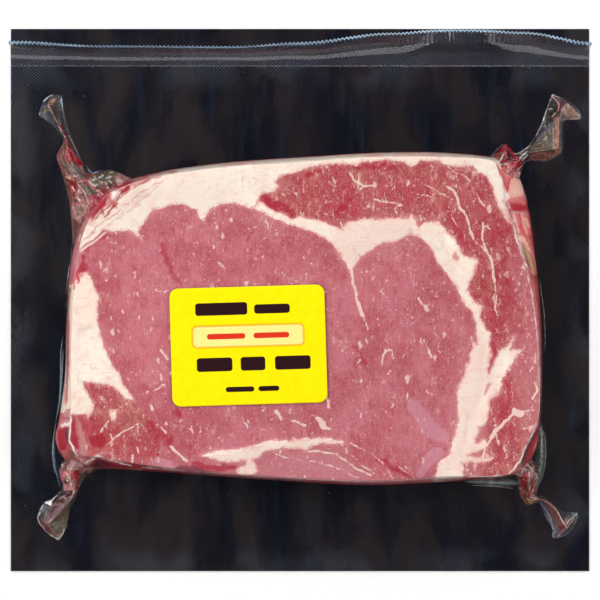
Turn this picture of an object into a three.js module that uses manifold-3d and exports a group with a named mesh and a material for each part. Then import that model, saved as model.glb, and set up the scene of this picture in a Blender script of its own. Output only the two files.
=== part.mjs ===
// A boneless rib eye steak, vacuum sealed under clear film on a flat black backing film.
// Millimetres, +Z up. The pack lies on its back: the origin is at the centre of the backing's
// underside, +X runs along the pack's wider side and +Y points to the end with the peel flap.
import * as THREE from "three";
import { mergeVertices } from "three/addons/utils/BufferGeometryUtils.js";
import Module from "manifold-3d";

const wasm = await Module();
wasm.setup();

// Driving dimensions
const packWidth = 216; // 8.5 in
const packLength = 202.5; // about 8 in
const backingThickness = 0.3;
const filmThickness = 0.2;
const clearance = 0.3; // between the film and what it lies against
const steakThickness = 21.5; // at the face, away from the fat and the crown
const flapLength = 14.2; // free strip of film beyond the seal, measured along the film
const sealLine = packLength / 2 - flapLength;

const filmBase = backingThickness;
const foldBase = filmBase + filmThickness / 2; // the folds grow out of the flat film

// The steak's foot, anticlockwise seen from below: x, y and how far the wall leans in at its top.
const steakOutline = [
  [-88, -28, 4],
  [-87.5, -8, 4],
  [-86, 13, 4],
  [-83.5, 24.5, 5.5],
  [-79, 34, 6],
  [-73, 41, 5.5],
  [-64.5, 45, 5],
  [-52, 48.2, 3.5],
  [-28, 51.6, 2.8],
  [0, 53.6, 2.8],
  [28, 55.3, 2.8],
  [52, 55.4, 3],
  [72, 53.6, 3.2],
  [79.5, 50, 7],
  [83.3, 43, 8.6],
  [86, 32, 9],
  [88, 18, 7],
  [90, -1, 4.5],
  [90.7, -22, 3.5],
  [90, -44, 3],
  [88.6, -55, 5.6],
  [85, -61.8, 5.4],
  [78, -65.8, 4],
  [54, -68.2, 4],
  [24, -69.4, 3.6],
  [-12, -67.4, 3.4],
  [-46, -65, 3.8],
  [-70, -63.4, 5],
  [-82, -63.2, 9],
  [-88, -60, 10],
  [-90.4, -52, 8],
  [-89.8, -44, 6],
];
const steakCentre = new THREE.Vector2(0, -7);
const steakReach = new THREE.Vector2(90, 62); // half its length and half its width

// Fat and muscle seams that show as relief on the steak's face: a path, its height and its spread.
const seams = [
  { path: [[-79, 30], [-62, 39], [-44, 43.5], [-13, 46]], height: 0.7, spread: 7 },
  { path: [[-20, 34], [-4, 25], [17, 19], [38, 26], [52, 18], [61, 2]], height: 0.6, spread: 4 },
  { path: [[61, 2], [67, -14], [66, -30], [60, -50], [53, -61]], height: 0.6, spread: 4.5 },
  { path: [[17, 19], [24, -8]], height: -0.4, spread: 1.8 },
  { path: [[-35, -58], [-20, -55], [2, -51], [14, -54], [28, -63]], height: 0.5, spread: 3.5 },
  { path: [[-82, 6], [-83, -20], [-72, -38], [-58, -44]], height: 0.7, spread: 6 },
];
const shoulderDrop = 2.2; // how far the face rolls down to the top of the wall
const crown = 1.0; // how much thicker the middle is
const swell = 0.5; // slow unevenness of the face

// The four gathers of spare film at the corners. Each runs from the steak's corner, through a
// crumpled bulge and a pinched neck, to the flared foot where the pocket's corner was.
const cornerFolds = [
  {
    name: "back left",
    spine: [[-72, 38], [-84.5, 49.5], [-86.6, 60], [-94.2, 73]],
    bulge: 5.2,
    foot: 5.6,
    ridgeShift: -0.6,
  },
  {
    name: "back right",
    spine: [[74, 47], [79, 54], [85, 56], [91.5, 60], [99.5, 73]],
    bulge: 3.8,
    foot: 6.8,
    ridgeShift: 1.8,
  },
  {
    name: "front left",
    spine: [[-80, -58], [-85, -65], [-86.5, -71.5], [-94.2, -85.2]],
    bulge: 4.4,
    foot: 6.2,
    ridgeShift: 0.8,
  },
  {
    name: "front right",
    spine: [[80, -60], [84.6, -68], [89.5, -75.5], [99.6, -85]],
    bulge: 4.2,
    foot: 6.4,
    ridgeShift: -0.5,
  },
];
const fold = {
  rootHeight: 17,
  neckHeight: 8,
  footHeight: 5,
  neckAt: 0.55, // share of the way from the root to the foot
  neckHalf: 1.6,
  ridgeHalf: 0.35,
  footBow: 2.2,
  crease: 0.9,
};

// How far the peel flap curls up off the backing, in radians of turn, from left to right.
const flapCurl = [
  [-108, 1.45],
  [-60, 1.85],
  [0, 1.65],
  [35, 0.9],
  [60, 0.15],
  [82, 0.85],
  [108, 1.7],
];

const label = { width: 56.5, length: 43, corner: 3.2, thickness: 0.25, turn: 1.7, x: -18.8, y: -16.6 };

// A geometry as a manifold-3d solid. Only its corners' places count.
function solidOf(geometry) {
  const bare = geometry.index ? geometry.toNonIndexed() : geometry.clone();
  bare.deleteAttribute("normal");
  bare.deleteAttribute("uv");
  const merged = mergeVertices(bare, 1e-4);
  const made = new wasm.Manifold(
    new wasm.Mesh({
      numProp: 3,
      vertProperties: new Float32Array(merged.attributes.position.array),
      triVerts: new Uint32Array(merged.index.array),
    }),
  );
  if (made.volume() < 0) throw new Error("a shape is inside out");
  return made;
}

function geometryOf(solid) {
  const mesh = solid.getMesh();
  const geometry = new THREE.BufferGeometry();
  geometry.setAttribute("position", new THREE.BufferAttribute(mesh.vertProperties, 3));
  geometry.setIndex(new THREE.BufferAttribute(mesh.triVerts, 1));
  geometry.computeVertexNormals();
  return geometry;
}

// Height of a smooth ridge along a path of straight stretches.
function ridgeAt(x, y, { path, height, spread }) {
  const at = new THREE.Vector3(x, y, 0);
  const nearest = new THREE.Vector3();
  let distance = Infinity;
  for (let i = 1; i < path.length; i++) {
    const stretch = new THREE.Line3(
      new THREE.Vector3(...path[i - 1], 0),
      new THREE.Vector3(...path[i], 0),
    );
    stretch.closestPointToPoint(at, true, nearest);
    distance = Math.min(distance, nearest.distanceTo(at));
  }
  return height * Math.exp(-((distance / spread) ** 2));
}

// Height of the steak's face, before it rolls down at the edge.
function faceHeight(x, y) {
  const across = (x - steakCentre.x) / steakReach.x;
  const along = (y - steakCentre.y) / steakReach.y;
  const dome = crown * Math.max(0, 1 - across ** 2) * Math.max(0, 1 - along ** 2);
  const slow = swell * Math.sin(x / 21 + 1) * Math.cos(y / 17);
  const relief = seams.reduce((sum, seam) => sum + ridgeAt(x, y, seam), 0);
  return backingThickness + steakThickness + dome + slow + relief;
}

// Outward direction on a rounded rectangle about the steak's centre.
function outwardFrom(x, y) {
  const across = (x - steakCentre.x) / steakReach.x;
  const along = (y - steakCentre.y) / steakReach.y;
  return new THREE.Vector2(across ** 3 / steakReach.x, along ** 3 / steakReach.y).normalize();
}

// A closed solid of rings: place(turn, j) gives the point of ring j at that share of a turn.
// The first and last rings are single points on its middle.
function ringSolid(segments, rings, place) {
  const profile = [];
  for (let j = 0; j < rings; j++) {
    profile.push(new THREE.Vector2(Math.sin((Math.PI * j) / (rings - 1)), j));
  }
  const geometry = new THREE.LatheGeometry(profile, segments);
  const position = geometry.attributes.position;
  for (let i = 0; i <= segments; i++) {
    for (let j = 0; j < rings; j++) {
      const p = place((i % segments) / segments, j);
      position.setXYZ(i * rings + j, p.x, p.y, p.z);
    }
  }
  return solidOf(geometry);
}

// The steak in its skin of film, grown by a margin where a neighbour is cut to it.
function steakSolid(margin = 0, faceRings = 16) {
  const segments = 120;
  const wallRings = 6;
  const outline = new THREE.CatmullRomCurve3(
    steakOutline.map((p) => new THREE.Vector3(...p)),
    true,
    "centripetal",
  );
  outline.arcLengthDivisions = 800;
  const foot = outline.getSpacedPoints(segments).reverse();
  const base = margin ? -1 : backingThickness;
  const wallTop = backingThickness + steakThickness - shoulderDrop;

  return ringSolid(segments, wallRings + faceRings + 1, (turn, j) => {
    const { x, y, z: lean } = foot[Math.round(turn * segments)];
    const out = outwardFrom(x, y);
    const wall = Math.min(1, Math.max(0, (j - 1) / (wallRings - 1)));
    const inset = lean * wall ** 1.4 - margin;
    const edge = new THREE.Vector2(x - out.x * inset, y - out.y * inset);
    if (j === 0) return new THREE.Vector3(steakCentre.x, steakCentre.y, base);
    if (j <= wallRings) {
      const z = j === 1 ? base : THREE.MathUtils.lerp(backingThickness, wallTop, wall);
      return new THREE.Vector3(edge.x, edge.y, z);
    }
    const share = 1 - ((j - wallRings) / faceRings) ** 1.25; // 1 at the wall, 0 in the middle
    const at = steakCentre.clone().lerp(edge, share);
    const rolled = faceHeight(at.x, at.y) - shoulderDrop * share ** 14;
    return new THREE.Vector3(at.x, at.y, rolled + margin);
  });
}

// A value read off a list of [position, value] pairs, eased between them.
function along(pairs, x) {
  const last = pairs.length - 1;
  if (x <= pairs[0][0]) return pairs[0][1];
  if (x >= pairs[last][0]) return pairs[last][1];
  const i = pairs.findIndex(([at]) => at > x);
  const [x0, y0] = pairs[i - 1];
  const [x1, y1] = pairs[i];
  return THREE.MathUtils.lerp(y0, y1, THREE.MathUtils.smoothstep(x, x0, x1));
}

// One gather of film: a long box moulded into a tent with hollow flanks and a thin ridge.
function foldSolid({ spine, bulge, foot, ridgeShift }) {
  const { rootHeight, neckHeight, footHeight, neckAt, neckHalf, ridgeHalf } = fold;
  const path = new THREE.CatmullRomCurve3(
    spine.map(([x, y]) => new THREE.Vector3(x, y, 0)),
    false,
    "centripetal",
  );
  const widths = [
    [0, bulge * 0.9],
    [0.28, bulge],
    [neckAt, neckHalf],
    [0.8, (neckHalf + foot) * 0.42],
    [1, foot],
  ];
  const heights = [
    [0, rootHeight],
    [0.3, rootHeight * 0.78],
    [neckAt, neckHeight],
    [1, footHeight],
  ];
  const geometry = new THREE.BoxGeometry(1, 2, 1, 24, 4, 4);
  const position = geometry.attributes.position;
  const up = new THREE.Vector3(0, 0, 1);
  for (let i = 0; i < position.count; i++) {
    const u = position.getX(i) + 0.5; // from the root to the foot
    const v = position.getY(i); // from -1 to 1 across
    const w = position.getZ(i) + 0.5; // from the base to the ridge
    const tangent = path.getTangent(u);
    const side = up.clone().cross(tangent);
    const crumple = 1 - THREE.MathUtils.smoothstep(u, 0.3, neckAt + 0.1);
    const creases = fold.crease * crumple * Math.sin(u * 33 + w * 4) * Math.sin(Math.PI * w);
    const flank = v * (along(widths, u) * (1 - w) ** 1.5 + ridgeHalf * w);
    const bow = fold.footBow * (1 - v ** 2) * (1 - w) * THREE.MathUtils.smoothstep(u, 0.85, 1);
    const p = path
      .getPoint(u)
      .addScaledVector(side, flank + ridgeShift * w * Math.sin(Math.PI * u) + creases)
      .addScaledVector(tangent, bow);
    position.setXYZ(i, p.x, p.y, foldBase + w * along(heights, u));
  }
  return solidOf(geometry);
}

// The sheet of film: flat and sealed to the backing as far as the seal line. The free strip
// beyond it curls up off the backing as an arc whose length stays the same and whose turn
// changes from side to side.
function sheetSolid() {
  const rows = 9; // one for the whole sealed part, the others along the free strip
  const geometry = new THREE.BoxGeometry(packWidth, rows, 1, 54, rows, 1);
  const position = geometry.attributes.position;
  for (let i = 0; i < position.count; i++) {
    const x = position.getX(i);
    const row = Math.round(position.getY(i) + rows / 2);
    const level = (position.getZ(i) + 0.5) * filmThickness; // from its underside to its top
    if (row === 0) {
      position.setXYZ(i, x, -packLength / 2, filmBase + level);
      continue;
    }
    const run = (row - 1) / (rows - 1);
    const curl = along(flapCurl, x) * run;
    const radius = flapLength / along(flapCurl, x);
    const y = sealLine + radius * Math.sin(curl) - level * Math.sin(curl);
    const z = filmBase + radius * (1 - Math.cos(curl)) + level * Math.cos(curl);
    position.setXYZ(i, x, y, z);
  }
  return solidOf(geometry);
}

// The clear film with its folds, cut away round the steak, which carries its own skin of it.
function clearFilm() {
  const whole = cornerFolds.map(foldSolid).reduce((film, gather) => film.add(gather), sheetSolid());
  return geometryOf(whole.subtract(steakSolid(clearance, 3)));
}

function backingFilm() {
  const sheet = new THREE.BoxGeometry(packWidth, packLength, backingThickness);
  return sheet.translate(0, 0, backingThickness / 2);
}

// A sticker with rounded corners that follows the steak's face.
function labelSticker() {
  const { width, length, corner, thickness, turn } = label;
  const segments = 48;
  const rings = 5; // from the middle to the edge, on each side
  const x = width / 2;
  const y = length / 2;
  const shape = new THREE.Shape();
  shape.absarc(x - corner, y - corner, corner, 0, Math.PI / 2);
  shape.absarc(corner - x, y - corner, corner, Math.PI / 2, Math.PI);
  shape.absarc(corner - x, corner - y, corner, Math.PI, Math.PI * 1.5);
  shape.absarc(x - corner, corner - y, corner, Math.PI * 1.5, Math.PI * 2);
  shape.closePath();
  const edge = shape.getSpacedPoints(segments);
  const middle = new THREE.Vector2(label.x, label.y);
  const solid = ringSolid(segments, rings * 2, (share, j) => {
    const under = j < rings;
    const reach = (under ? j : rings * 2 - 1 - j) / (rings - 1);
    const at = edge[Math.round(share * segments)]
      .clone()
      .multiplyScalar(reach)
      .rotateAround(new THREE.Vector2(), THREE.MathUtils.degToRad(turn))
      .add(middle);
    const z = faceHeight(at.x, at.y) + clearance + (under ? 0 : thickness);
    return new THREE.Vector3(at.x, at.y, z);
  });
  return geometryOf(solid);
}

const materials = {
  backing: new THREE.MeshStandardMaterial({ color: 0x1b1c22, roughness: 0.35, metalness: 0 }),
  film: new THREE.MeshStandardMaterial({
    color: 0xc9cdd0,
    roughness: 0.08,
    metalness: 0,
    transparent: true,
    opacity: 0.35,
  }),
  meat: new THREE.MeshStandardMaterial({ color: 0xb5566a, roughness: 0.35, metalness: 0 }),
  paper: new THREE.MeshStandardMaterial({ color: 0xf4e600, roughness: 0.5, metalness: 0 }),
};

function node(name, geometry, material) {
  const mesh = new THREE.Mesh(geometry, material);
  mesh.name = name;
  return mesh;
}

const pack = new THREE.Group();
pack.add(
  node("backing_film", backingFilm(), materials.backing),
  node("clear_film", clearFilm(), materials.film),
  node("steak", geometryOf(steakSolid()), materials.meat),
  node("label", labelSticker(), materials.paper),
);

export default pack;
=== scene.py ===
# A vacuum packed rib eye steak: raw meat under tight clear film on a black backing film.
# Lengths below are in millimetres; meshes are written in metres.
import math

import bmesh
import bpy
import numpy as np
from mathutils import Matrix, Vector, noise


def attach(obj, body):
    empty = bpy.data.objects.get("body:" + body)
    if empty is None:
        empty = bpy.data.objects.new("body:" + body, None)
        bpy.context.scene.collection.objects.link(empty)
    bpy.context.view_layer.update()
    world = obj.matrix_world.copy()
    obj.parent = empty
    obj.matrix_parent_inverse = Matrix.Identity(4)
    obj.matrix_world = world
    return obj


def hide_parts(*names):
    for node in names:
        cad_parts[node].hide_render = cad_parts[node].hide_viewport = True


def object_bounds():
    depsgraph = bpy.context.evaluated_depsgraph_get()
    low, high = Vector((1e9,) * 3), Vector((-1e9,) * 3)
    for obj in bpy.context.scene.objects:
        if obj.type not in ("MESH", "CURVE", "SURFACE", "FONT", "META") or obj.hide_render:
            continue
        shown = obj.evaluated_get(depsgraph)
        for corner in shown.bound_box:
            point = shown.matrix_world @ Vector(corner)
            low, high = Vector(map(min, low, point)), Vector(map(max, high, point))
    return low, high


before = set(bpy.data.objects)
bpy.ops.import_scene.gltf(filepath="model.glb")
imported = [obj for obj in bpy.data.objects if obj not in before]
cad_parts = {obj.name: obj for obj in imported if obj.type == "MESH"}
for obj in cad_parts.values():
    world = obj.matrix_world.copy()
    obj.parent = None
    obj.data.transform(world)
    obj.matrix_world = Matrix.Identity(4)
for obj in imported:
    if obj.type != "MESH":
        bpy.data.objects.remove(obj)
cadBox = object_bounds()
print("frame loaded:", sorted(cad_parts))

mm = 0.001
pack = {
    "width": round((cadBox[1][0] - cadBox[0][0]) / mm, 2),
    "length": round((cadBox[1][1] - cadBox[0][1]) / mm, 2),
    "backing": 0.3,
    "flap": 14.2,
}
sealLine = pack["length"] / 2 - pack["flap"]


def rgb(r, g, b):  # a screen colour, 0 to 255, as the shader's linear one
    shares = (v / 255 for v in (r, g, b))
    return tuple(v / 12.92 if v <= 0.04 else ((v + 0.055) / 1.055) ** 2.4 for v in shares) + (1.0,)


def mixed(colours):
    return {name: rgb(*screen) for name, screen in colours.items()}


def smooth(x, low, high):
    t = np.clip((x - low) / (high - low), 0, 1)
    return t * t * (3 - 2 * t)


def bell(far, wide):
    return np.exp(-((far / wide) ** 2))


def eased(pairs, x):  # through the given pairs, level at each of them
    xs, ys = np.array(pairs).T
    i = np.clip(np.searchsorted(xs, x) - 1, 0, len(xs) - 2)
    return ys[i] + (ys[i + 1] - ys[i]) * smooth(x, xs[i], xs[i + 1])


def curveThrough(points, steps, closed=False):
    pts = np.array(points, float)
    if closed:
        pts = np.vstack([pts[-1:], pts, pts[:2]])
    else:
        pts = np.vstack([2 * pts[:1] - pts[1:2], pts, 2 * pts[-1:] - pts[-2:-1]])
    t = np.linspace(0, 1, steps, endpoint=False)[:, None]
    out = []
    for p0, p1, p2, p3 in zip(pts, pts[1:], pts[2:], pts[3:]):
        d0, d1, d2 = (max(np.linalg.norm(b - a) ** 0.5, 1e-3) for a, b in ((p0, p1), (p1, p2), (p2, p3)))
        m1 = ((p1 - p0) / d0 - (p2 - p0) / (d0 + d1) + (p2 - p1) / d1) * d1
        m2 = ((p2 - p1) / d1 - (p3 - p1) / (d1 + d2) + (p3 - p2) / d2) * d1
        bend = (3 * (p2 - p1) - 2 * m1 - m2) * t**2 + (2 * (p1 - p2) + m1 + m2) * t**3
        out.append(p1 + m1 * t + bend)
    if not closed:
        out.append(pts[-2:-1])
    return np.vstack(out)


def alongCurve(at, column):  # a column of a curve's rows, between row 0 and the last
    return np.interp(at, np.arange(len(column)), column)


def pathDistance(x, y, path, closed=False):
    best = np.full(np.shape(x), 1e9)
    ends = path[1:] + path[:1] if closed else path[1:]
    for (ax, ay), (bx, by) in zip(path, ends):
        dx, dy = bx - ax, by - ay
        t = np.clip(((x - ax) * dx + (y - ay) * dy) / max(dx * dx + dy * dy, 1e-9), 0, 1)
        best = np.minimum(best, np.hypot(x - ax - t * dx, y - ay - t * dy))
    return best


def insideOf(x, y, outline):  # distance to an outline, positive inside it
    inside = np.zeros(np.shape(x), bool)
    for (ax, ay), (bx, by) in zip(outline, outline[1:] + outline[:1]):
        if ay != by:
            inside ^= ((ay > y) != (by > y)) & (x < (bx - ax) * (y - ay) / (by - ay) + ax)
    far = pathDistance(x, y, outline, True)
    return np.where(inside, far, -far)


def insideAny(at, outlines):
    return np.max([insideOf(*at, outline) for outline in outlines], 0)


def coverOf(at, areas):  # the largest share, from the share, edge and outline of each area
    return np.max([share * smooth(insideOf(*at, outline), -edge, edge) for share, edge, outline in areas], 0)


def noiseOf(co, size, seed=0.0, octaves=2):  # smooth noise, about -1 to 1, with features of this size
    start = Vector((seed, seed, seed))
    return np.array([noise.fractal(Vector(c) / size + start, 0.8, 2.0, octaves) for c in co])


def ride(obj, slot, *nodes):
    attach(obj, "root")
    if nodes:
        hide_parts(*nodes)
    return obj


def newObject(name, bm, *finishes):
    mesh = bpy.data.meshes.new(name)
    bm.to_mesh(mesh)
    bm.free()
    obj = bpy.data.objects.new(name, mesh)
    bpy.context.scene.collection.objects.link(obj)
    for finish in finishes:
        mesh.materials.append(finish)
    mesh.shade_smooth()
    return obj


def vertices(mesh):
    co = np.empty(len(mesh.vertices) * 3, np.float32)
    mesh.vertices.foreach_get("co", co)
    return co.reshape(-1, 3).astype(float)


def loopVertices(mesh):
    corners = np.empty(len(mesh.loops), np.int32)
    mesh.loops.foreach_get("vertex_index", corners)
    return corners


def newSheet(name, cells, finish, count=1):  # grids whose vertices hold u and v, -1 to 1
    bm = bmesh.new()
    for _ in range(count):
        bmesh.ops.create_grid(bm, x_segments=cells[0], y_segments=cells[1], size=1)
    obj = newObject(name, bm, finish)
    u, v, _ = vertices(obj.data).T
    return obj, u, v


def moveTo(mesh, co):  # millimetres in, metres out
    mesh.vertices.foreach_set("co", (np.asarray(co) * mm).astype(np.float32).ravel())
    mesh.update()


def thicken(obj, thickness, offset=-1.0):
    shell = obj.modifiers.new("thickness", "SOLIDIFY")
    shell.thickness, shell.offset = thickness * mm, offset
    return obj


def rideFilm(obj, thickness, *nodes):
    obj.visible_shadow = False
    return ride(thicken(obj, thickness), "film", *nodes)


def addValues(mesh, name, values):
    layer = mesh.attributes.new(name, "FLOAT", "POINT")
    layer.data.foreach_set("value", np.asarray(values, np.float32))


def addTint(mesh, tint, cover):
    colours = mesh.attributes.new("tint", "FLOAT_COLOR", "POINT")
    colours.data.foreach_set("color", np.asarray(tint, np.float32).ravel())
    addValues(mesh, "cover", cover)


def put(tree, kind, inputs=None, **settings):
    made = tree.nodes.new("ShaderNode" + kind)
    for key, given in settings.items():
        setattr(made, key, given)
    return plug(tree, made, inputs or {})


def plug(tree, made, inputs):
    for key, given in inputs.items():
        if isinstance(given, bpy.types.NodeSocket):
            tree.links.new(given, made.inputs[key])
        else:
            made.inputs[key].default_value = given
    return made


def calc(tree, operation, a, b=0.0, c=0.0, clamp=False):
    return put(tree, "Math", {0: a, 1: b, 2: c}, operation=operation, use_clamp=clamp).outputs[0]


def plus(tree, a, b):
    return calc(tree, "ADD", a, b)


def minus(tree, a, b):
    return calc(tree, "SUBTRACT", a, b)


def times(tree, a, b):
    return calc(tree, "MULTIPLY", a, b)


def scaled(tree, a, gain, start, clamp=False):
    return calc(tree, "MULTIPLY_ADD", a, gain, start, clamp)


def absolute(tree, a):
    return calc(tree, "ABSOLUTE", a)


def largest(tree, first, *rest):
    for part in rest:
        first = calc(tree, "MAXIMUM", first, part)
    return first


def vectorMath(tree, operation, inputs):
    return put(tree, "VectorMath", inputs, operation=operation).outputs


def step(tree, given, low, high, outLow=0.0, outHigh=1.0):
    ramp = {0: given, 1: low, 2: high, 3: outLow, 4: outHigh}
    return put(tree, "MapRange", ramp, interpolation_type="SMOOTHSTEP").outputs[0]


def blend(tree, share, a, b, mode="MIX"):
    return put(tree, "Mix", {0: share, 6: a, 7: b}, data_type="RGBA", blend_type=mode).outputs[2]


def layered(tree, colour, layers):  # the share and colour of each layer, from the lowest up
    for share, over in layers:
        colour = blend(tree, share, colour, over)
    return colour


def spots(tree, vector, wide, detail=2.0, roughness=0.5, distortion=0.0):
    pattern = {"Detail": detail, "Roughness": roughness, "Distortion": distortion}
    return put(tree, "TexNoise", {"Vector": vector, "Scale": 1 / (wide * mm), **pattern}).outputs[0]


def cells(tree, vector, wide):
    return put(tree, "TexVoronoi", {"Vector": vector, "Scale": 1 / (wide * mm)}).outputs


def scattered(tree, vector, wide, radius, share):  # specks of uneven size in this share of the cells
    distance, colour = cells(tree, vector, wide)[:2]
    picks = put(tree, "SeparateColor", {0: colour}).outputs
    speck = step(tree, minus(tree, distance, times(tree, picks[1], radius)), 0.04, -0.04)
    return times(tree, speck, calc(tree, "LESS_THAN", picks[0], share))


def place(tree):
    return put(tree, "TexCoord").outputs["Object"]


def stretched(tree, vector, turn=(0, 0, 0), scale=(1, 1, 1), move=(0, 0, 0)):
    moves = {"Location": move, "Rotation": turn, "Scale": scale}
    return put(tree, "Mapping", {"Vector": vector, **moves}).outputs[0]


def drawnOut(tree, vector, turn, squeeze):  # so that a pattern's marks lie along one way
    return stretched(tree, vector, (0, 0, turn), (1, squeeze, 1))


def value(tree, name, output="Fac"):
    return put(tree, "Attribute", attribute_name=name).outputs[output]


def bumped(tree, height, strength, depth):
    return put(tree, "Bump", {"Height": height, "Strength": strength, "Distance": depth * mm}).outputs[0]


def finishNamed(name):
    made = bpy.data.materials.new(name)
    made.use_nodes = True
    return made, made.node_tree, made.node_tree.nodes["Principled BSDF"]


def newGroup(name, inputs, outputs):
    tree = bpy.data.node_groups.new(name, "ShaderNodeTree")
    for title, kind in inputs:
        tree.interface.new_socket(title, in_out="INPUT", socket_type="NodeSocket" + kind)
    for title in outputs:
        tree.interface.new_socket(title, in_out="OUTPUT", socket_type="NodeSocketFloat")
    return tree, tree.nodes.new("NodeGroupInput").outputs, tree.nodes.new("NodeGroupOutput")


def useGroup(tree, group, inputs):
    return put(tree, "Group", inputs, node_tree=group).outputs


tones = {  # what shows through the film at the steak's edges and in its folds; the bright tones also serve as painted highlights and glints, the greys as painted reflections
    "black": (14, 14, 16), "soot": (48, 42, 44), "smoke": (66, 66, 68), "grey": (128, 108, 104),
    "steel": (92, 98, 114), "slate": (70, 71, 82), "ice": (190, 222, 240), "frost": (186, 222, 250),
    "blue": (140, 154, 176), "fern": (84, 94, 90), "olive": (96, 82, 62), "tan": (154, 114, 94),
    "gold": (200, 154, 104), "copper": (158, 106, 84), "brown": (128, 70, 62), "maroon": (86, 18, 30),
    "plum": (80, 36, 46), "crimson": (158, 20, 44), "red": (190, 16, 44), "salmon": (198, 104, 102),
    "mauve": (180, 124, 126), "blush": (188, 128, 126), "cream": (224, 172, 154),
    "pale": (172, 168, 166), "white": (250, 244, 242),
}
tones = {name: np.array(colour) for name, colour in mixed(tones).items()}


def toned(tint, tone, share):
    return tint + (tones[tone] - tint) * share[:, None]


def paintOver(at, tint, cover, patches, lines, flicker=1.0):  # patches, then thin lines on them
    shares = [(*look, smooth(insideOf(*at, outline), -soft, soft)) for *look, soft, outline in patches]
    shares += [(*look, bell(pathDistance(*at, path), wide) * flicker) for *look, wide, path in lines]
    for tone, strength, share in shares:
        tint, cover = toned(tint, tone, share), cover + (strength - cover) * share
    return tint, cover


steak = {
    "outline": [  # x, y and how far the wall leans in at its top
        (-88, -28, 4), (-87.5, -8, 4), (-86, 13, 4), (-83.5, 24.5, 4), (-79, 34, 3.8), (-73, 41, 3.4),
        (-64.5, 45, 3.2), (-52, 48.2, 2.9), (-28, 51.6, 2.8), (0, 53.6, 2.8), (28, 55.3, 2.8),
        (52, 55.4, 3), (72, 53.6, 3.2), (76, 52.3, 6), (79.5, 50, 10), (83.3, 43, 11), (86, 32, 9),
        (88, 18, 7), (90, -1, 4.5), (90.7, -22, 3.5), (90, -44, 3), (88.6, -55, 6.2),
        (85.5, -61.6, 6), (82, -64.8, 4), (77, -66.2, 2.4), (54, -68.2, 3.4), (24, -69.4, 2.9),
        (-12, -67.4, 2.6), (-46, -65, 3.1), (-70, -63.4, 5.2), (-76, -63.4, 6.8), (-82.5, -63.1, 7),
        (-88, -60, 6.6), (-91.6, -52.5, 7.6), (-90.2, -44, 6.4),
    ],
    "outlineSteps": 40,
    "centre": (0, -7),
    "reach": (90, 62),
    "thickness": 21.5,
    "edgeRadius": 0.8,
    "leanCurve": 1.4,  # above 1, most of a wall's lean is near its top
    "inset": 2,  # the face's grid is laid out on a box this far inside the reach
    "gather": 1.35,  # above 1, the face's cells crowd towards its edge
    "crown": 1.0,
    "swell": 0.5,
    "swellSpan": (21, 17),
    "seams": [  # path, height, spread
        ([(-79, 30), (-62, 39), (-44, 43.5), (-13, 46)], 0.7, 7),
        ([(-20, 34), (-4, 25), (17, 19), (38, 26), (52, 18), (57, 9)], 0.5, 5),
        ([(64, -6), (67, -14), (66, -30), (60, -50), (53, -61)], 0.5, 5),
        ([(17, 19), (24, -8)], -0.4, 1.8),
        ([(-35, -58), (-20, -55), (2, -51), (14, -54), (28, -63)], 0.5, 3.5),
        ([(-82, 6), (-83, -20), (-72, -38), (-58, -44)], 0.7, 6),
    ],
}
foot = curveThrough(steak["outline"], steak["outlineSteps"], True)
steakX, steakY = steak["centre"]
reachX, reachY = steak["reach"]


def outward(x, y):
    way = np.stack([((x - steakX) / reachX) ** 3 / reachX, ((y - steakY) / reachY) ** 3 / reachY], -1)
    return way / np.linalg.norm(way, axis=-1, keepdims=True)


wayOut = outward(foot[:, 0], foot[:, 1])
topX, topY = (foot[:, :2] - wayOut * foot[:, 2:] - (steakX, steakY)).T
topAngle, topReach = np.arctan2(topY, topX), np.hypot(topX, topY)


def around(angle, column):
    return np.interp(angle, topAngle, column, period=2 * math.pi)


def faceHeight(x, y):
    spanX, spanY = steak["swellSpan"]
    across, along = (x - steakX) / reachX, (y - steakY) / reachY
    z = pack["backing"] + steak["thickness"] + steak["swell"] * np.sin(x / spanX + 1) * np.cos(y / spanY)
    z = z + steak["crown"] * np.maximum(0, 1 - across**2) * np.maximum(0, 1 - along**2)
    for path, height, spread in steak["seams"]:
        z = z + height * bell(pathDistance(x, y, path), spread)
    return z


# A square sheet that is the face, with rings drawn down from its border. Its vertices hold
# (u, v, -ring) until a form is put on them.
def ringedSheet(cellCounts, rings):
    bm = bmesh.new()
    bmesh.ops.create_grid(bm, x_segments=cellCounts[0], y_segments=cellCounts[1], size=1)
    rim = [e for e in bm.edges if e.is_boundary]
    for _ in range(rings):
        made = bmesh.ops.extrude_edge_only(bm, edges=rim)["geom"]
        bmesh.ops.translate(bm, verts=[g for g in made if isinstance(g, bmesh.types.BMVert)], vec=(0, 0, -1))
        rim = [g for g in made if isinstance(g, bmesh.types.BMEdge) and g.is_boundary]
    return bm, rim


def facePlace(u, v, sink):  # the face and its edge, from u and v in -1 to 1
    radius = steak["edgeRadius"]
    side = np.maximum(np.maximum(abs(u), abs(v)), 1e-6)
    dx, dy = u * (reachX - steak["inset"]), v * (reachY - steak["inset"])
    angle = np.arctan2(dy, dx)
    box = np.maximum(np.hypot(dx, dy) / side, 1.0)
    edge = around(angle, topReach)
    side = 1 - (1 - side) ** steak["gather"]
    r = side * box * (1 - (1 - edge / box) * side**3)
    into = np.maximum(0, radius - (edge - r))
    drop = radius - np.sqrt(np.maximum(0, radius**2 - into**2))
    r = r * (edge - sink) / edge
    x, y = steakX + r * np.cos(angle), steakY + r * np.sin(angle)
    return x, y, faceHeight(x, y) - drop - sink, angle


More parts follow.
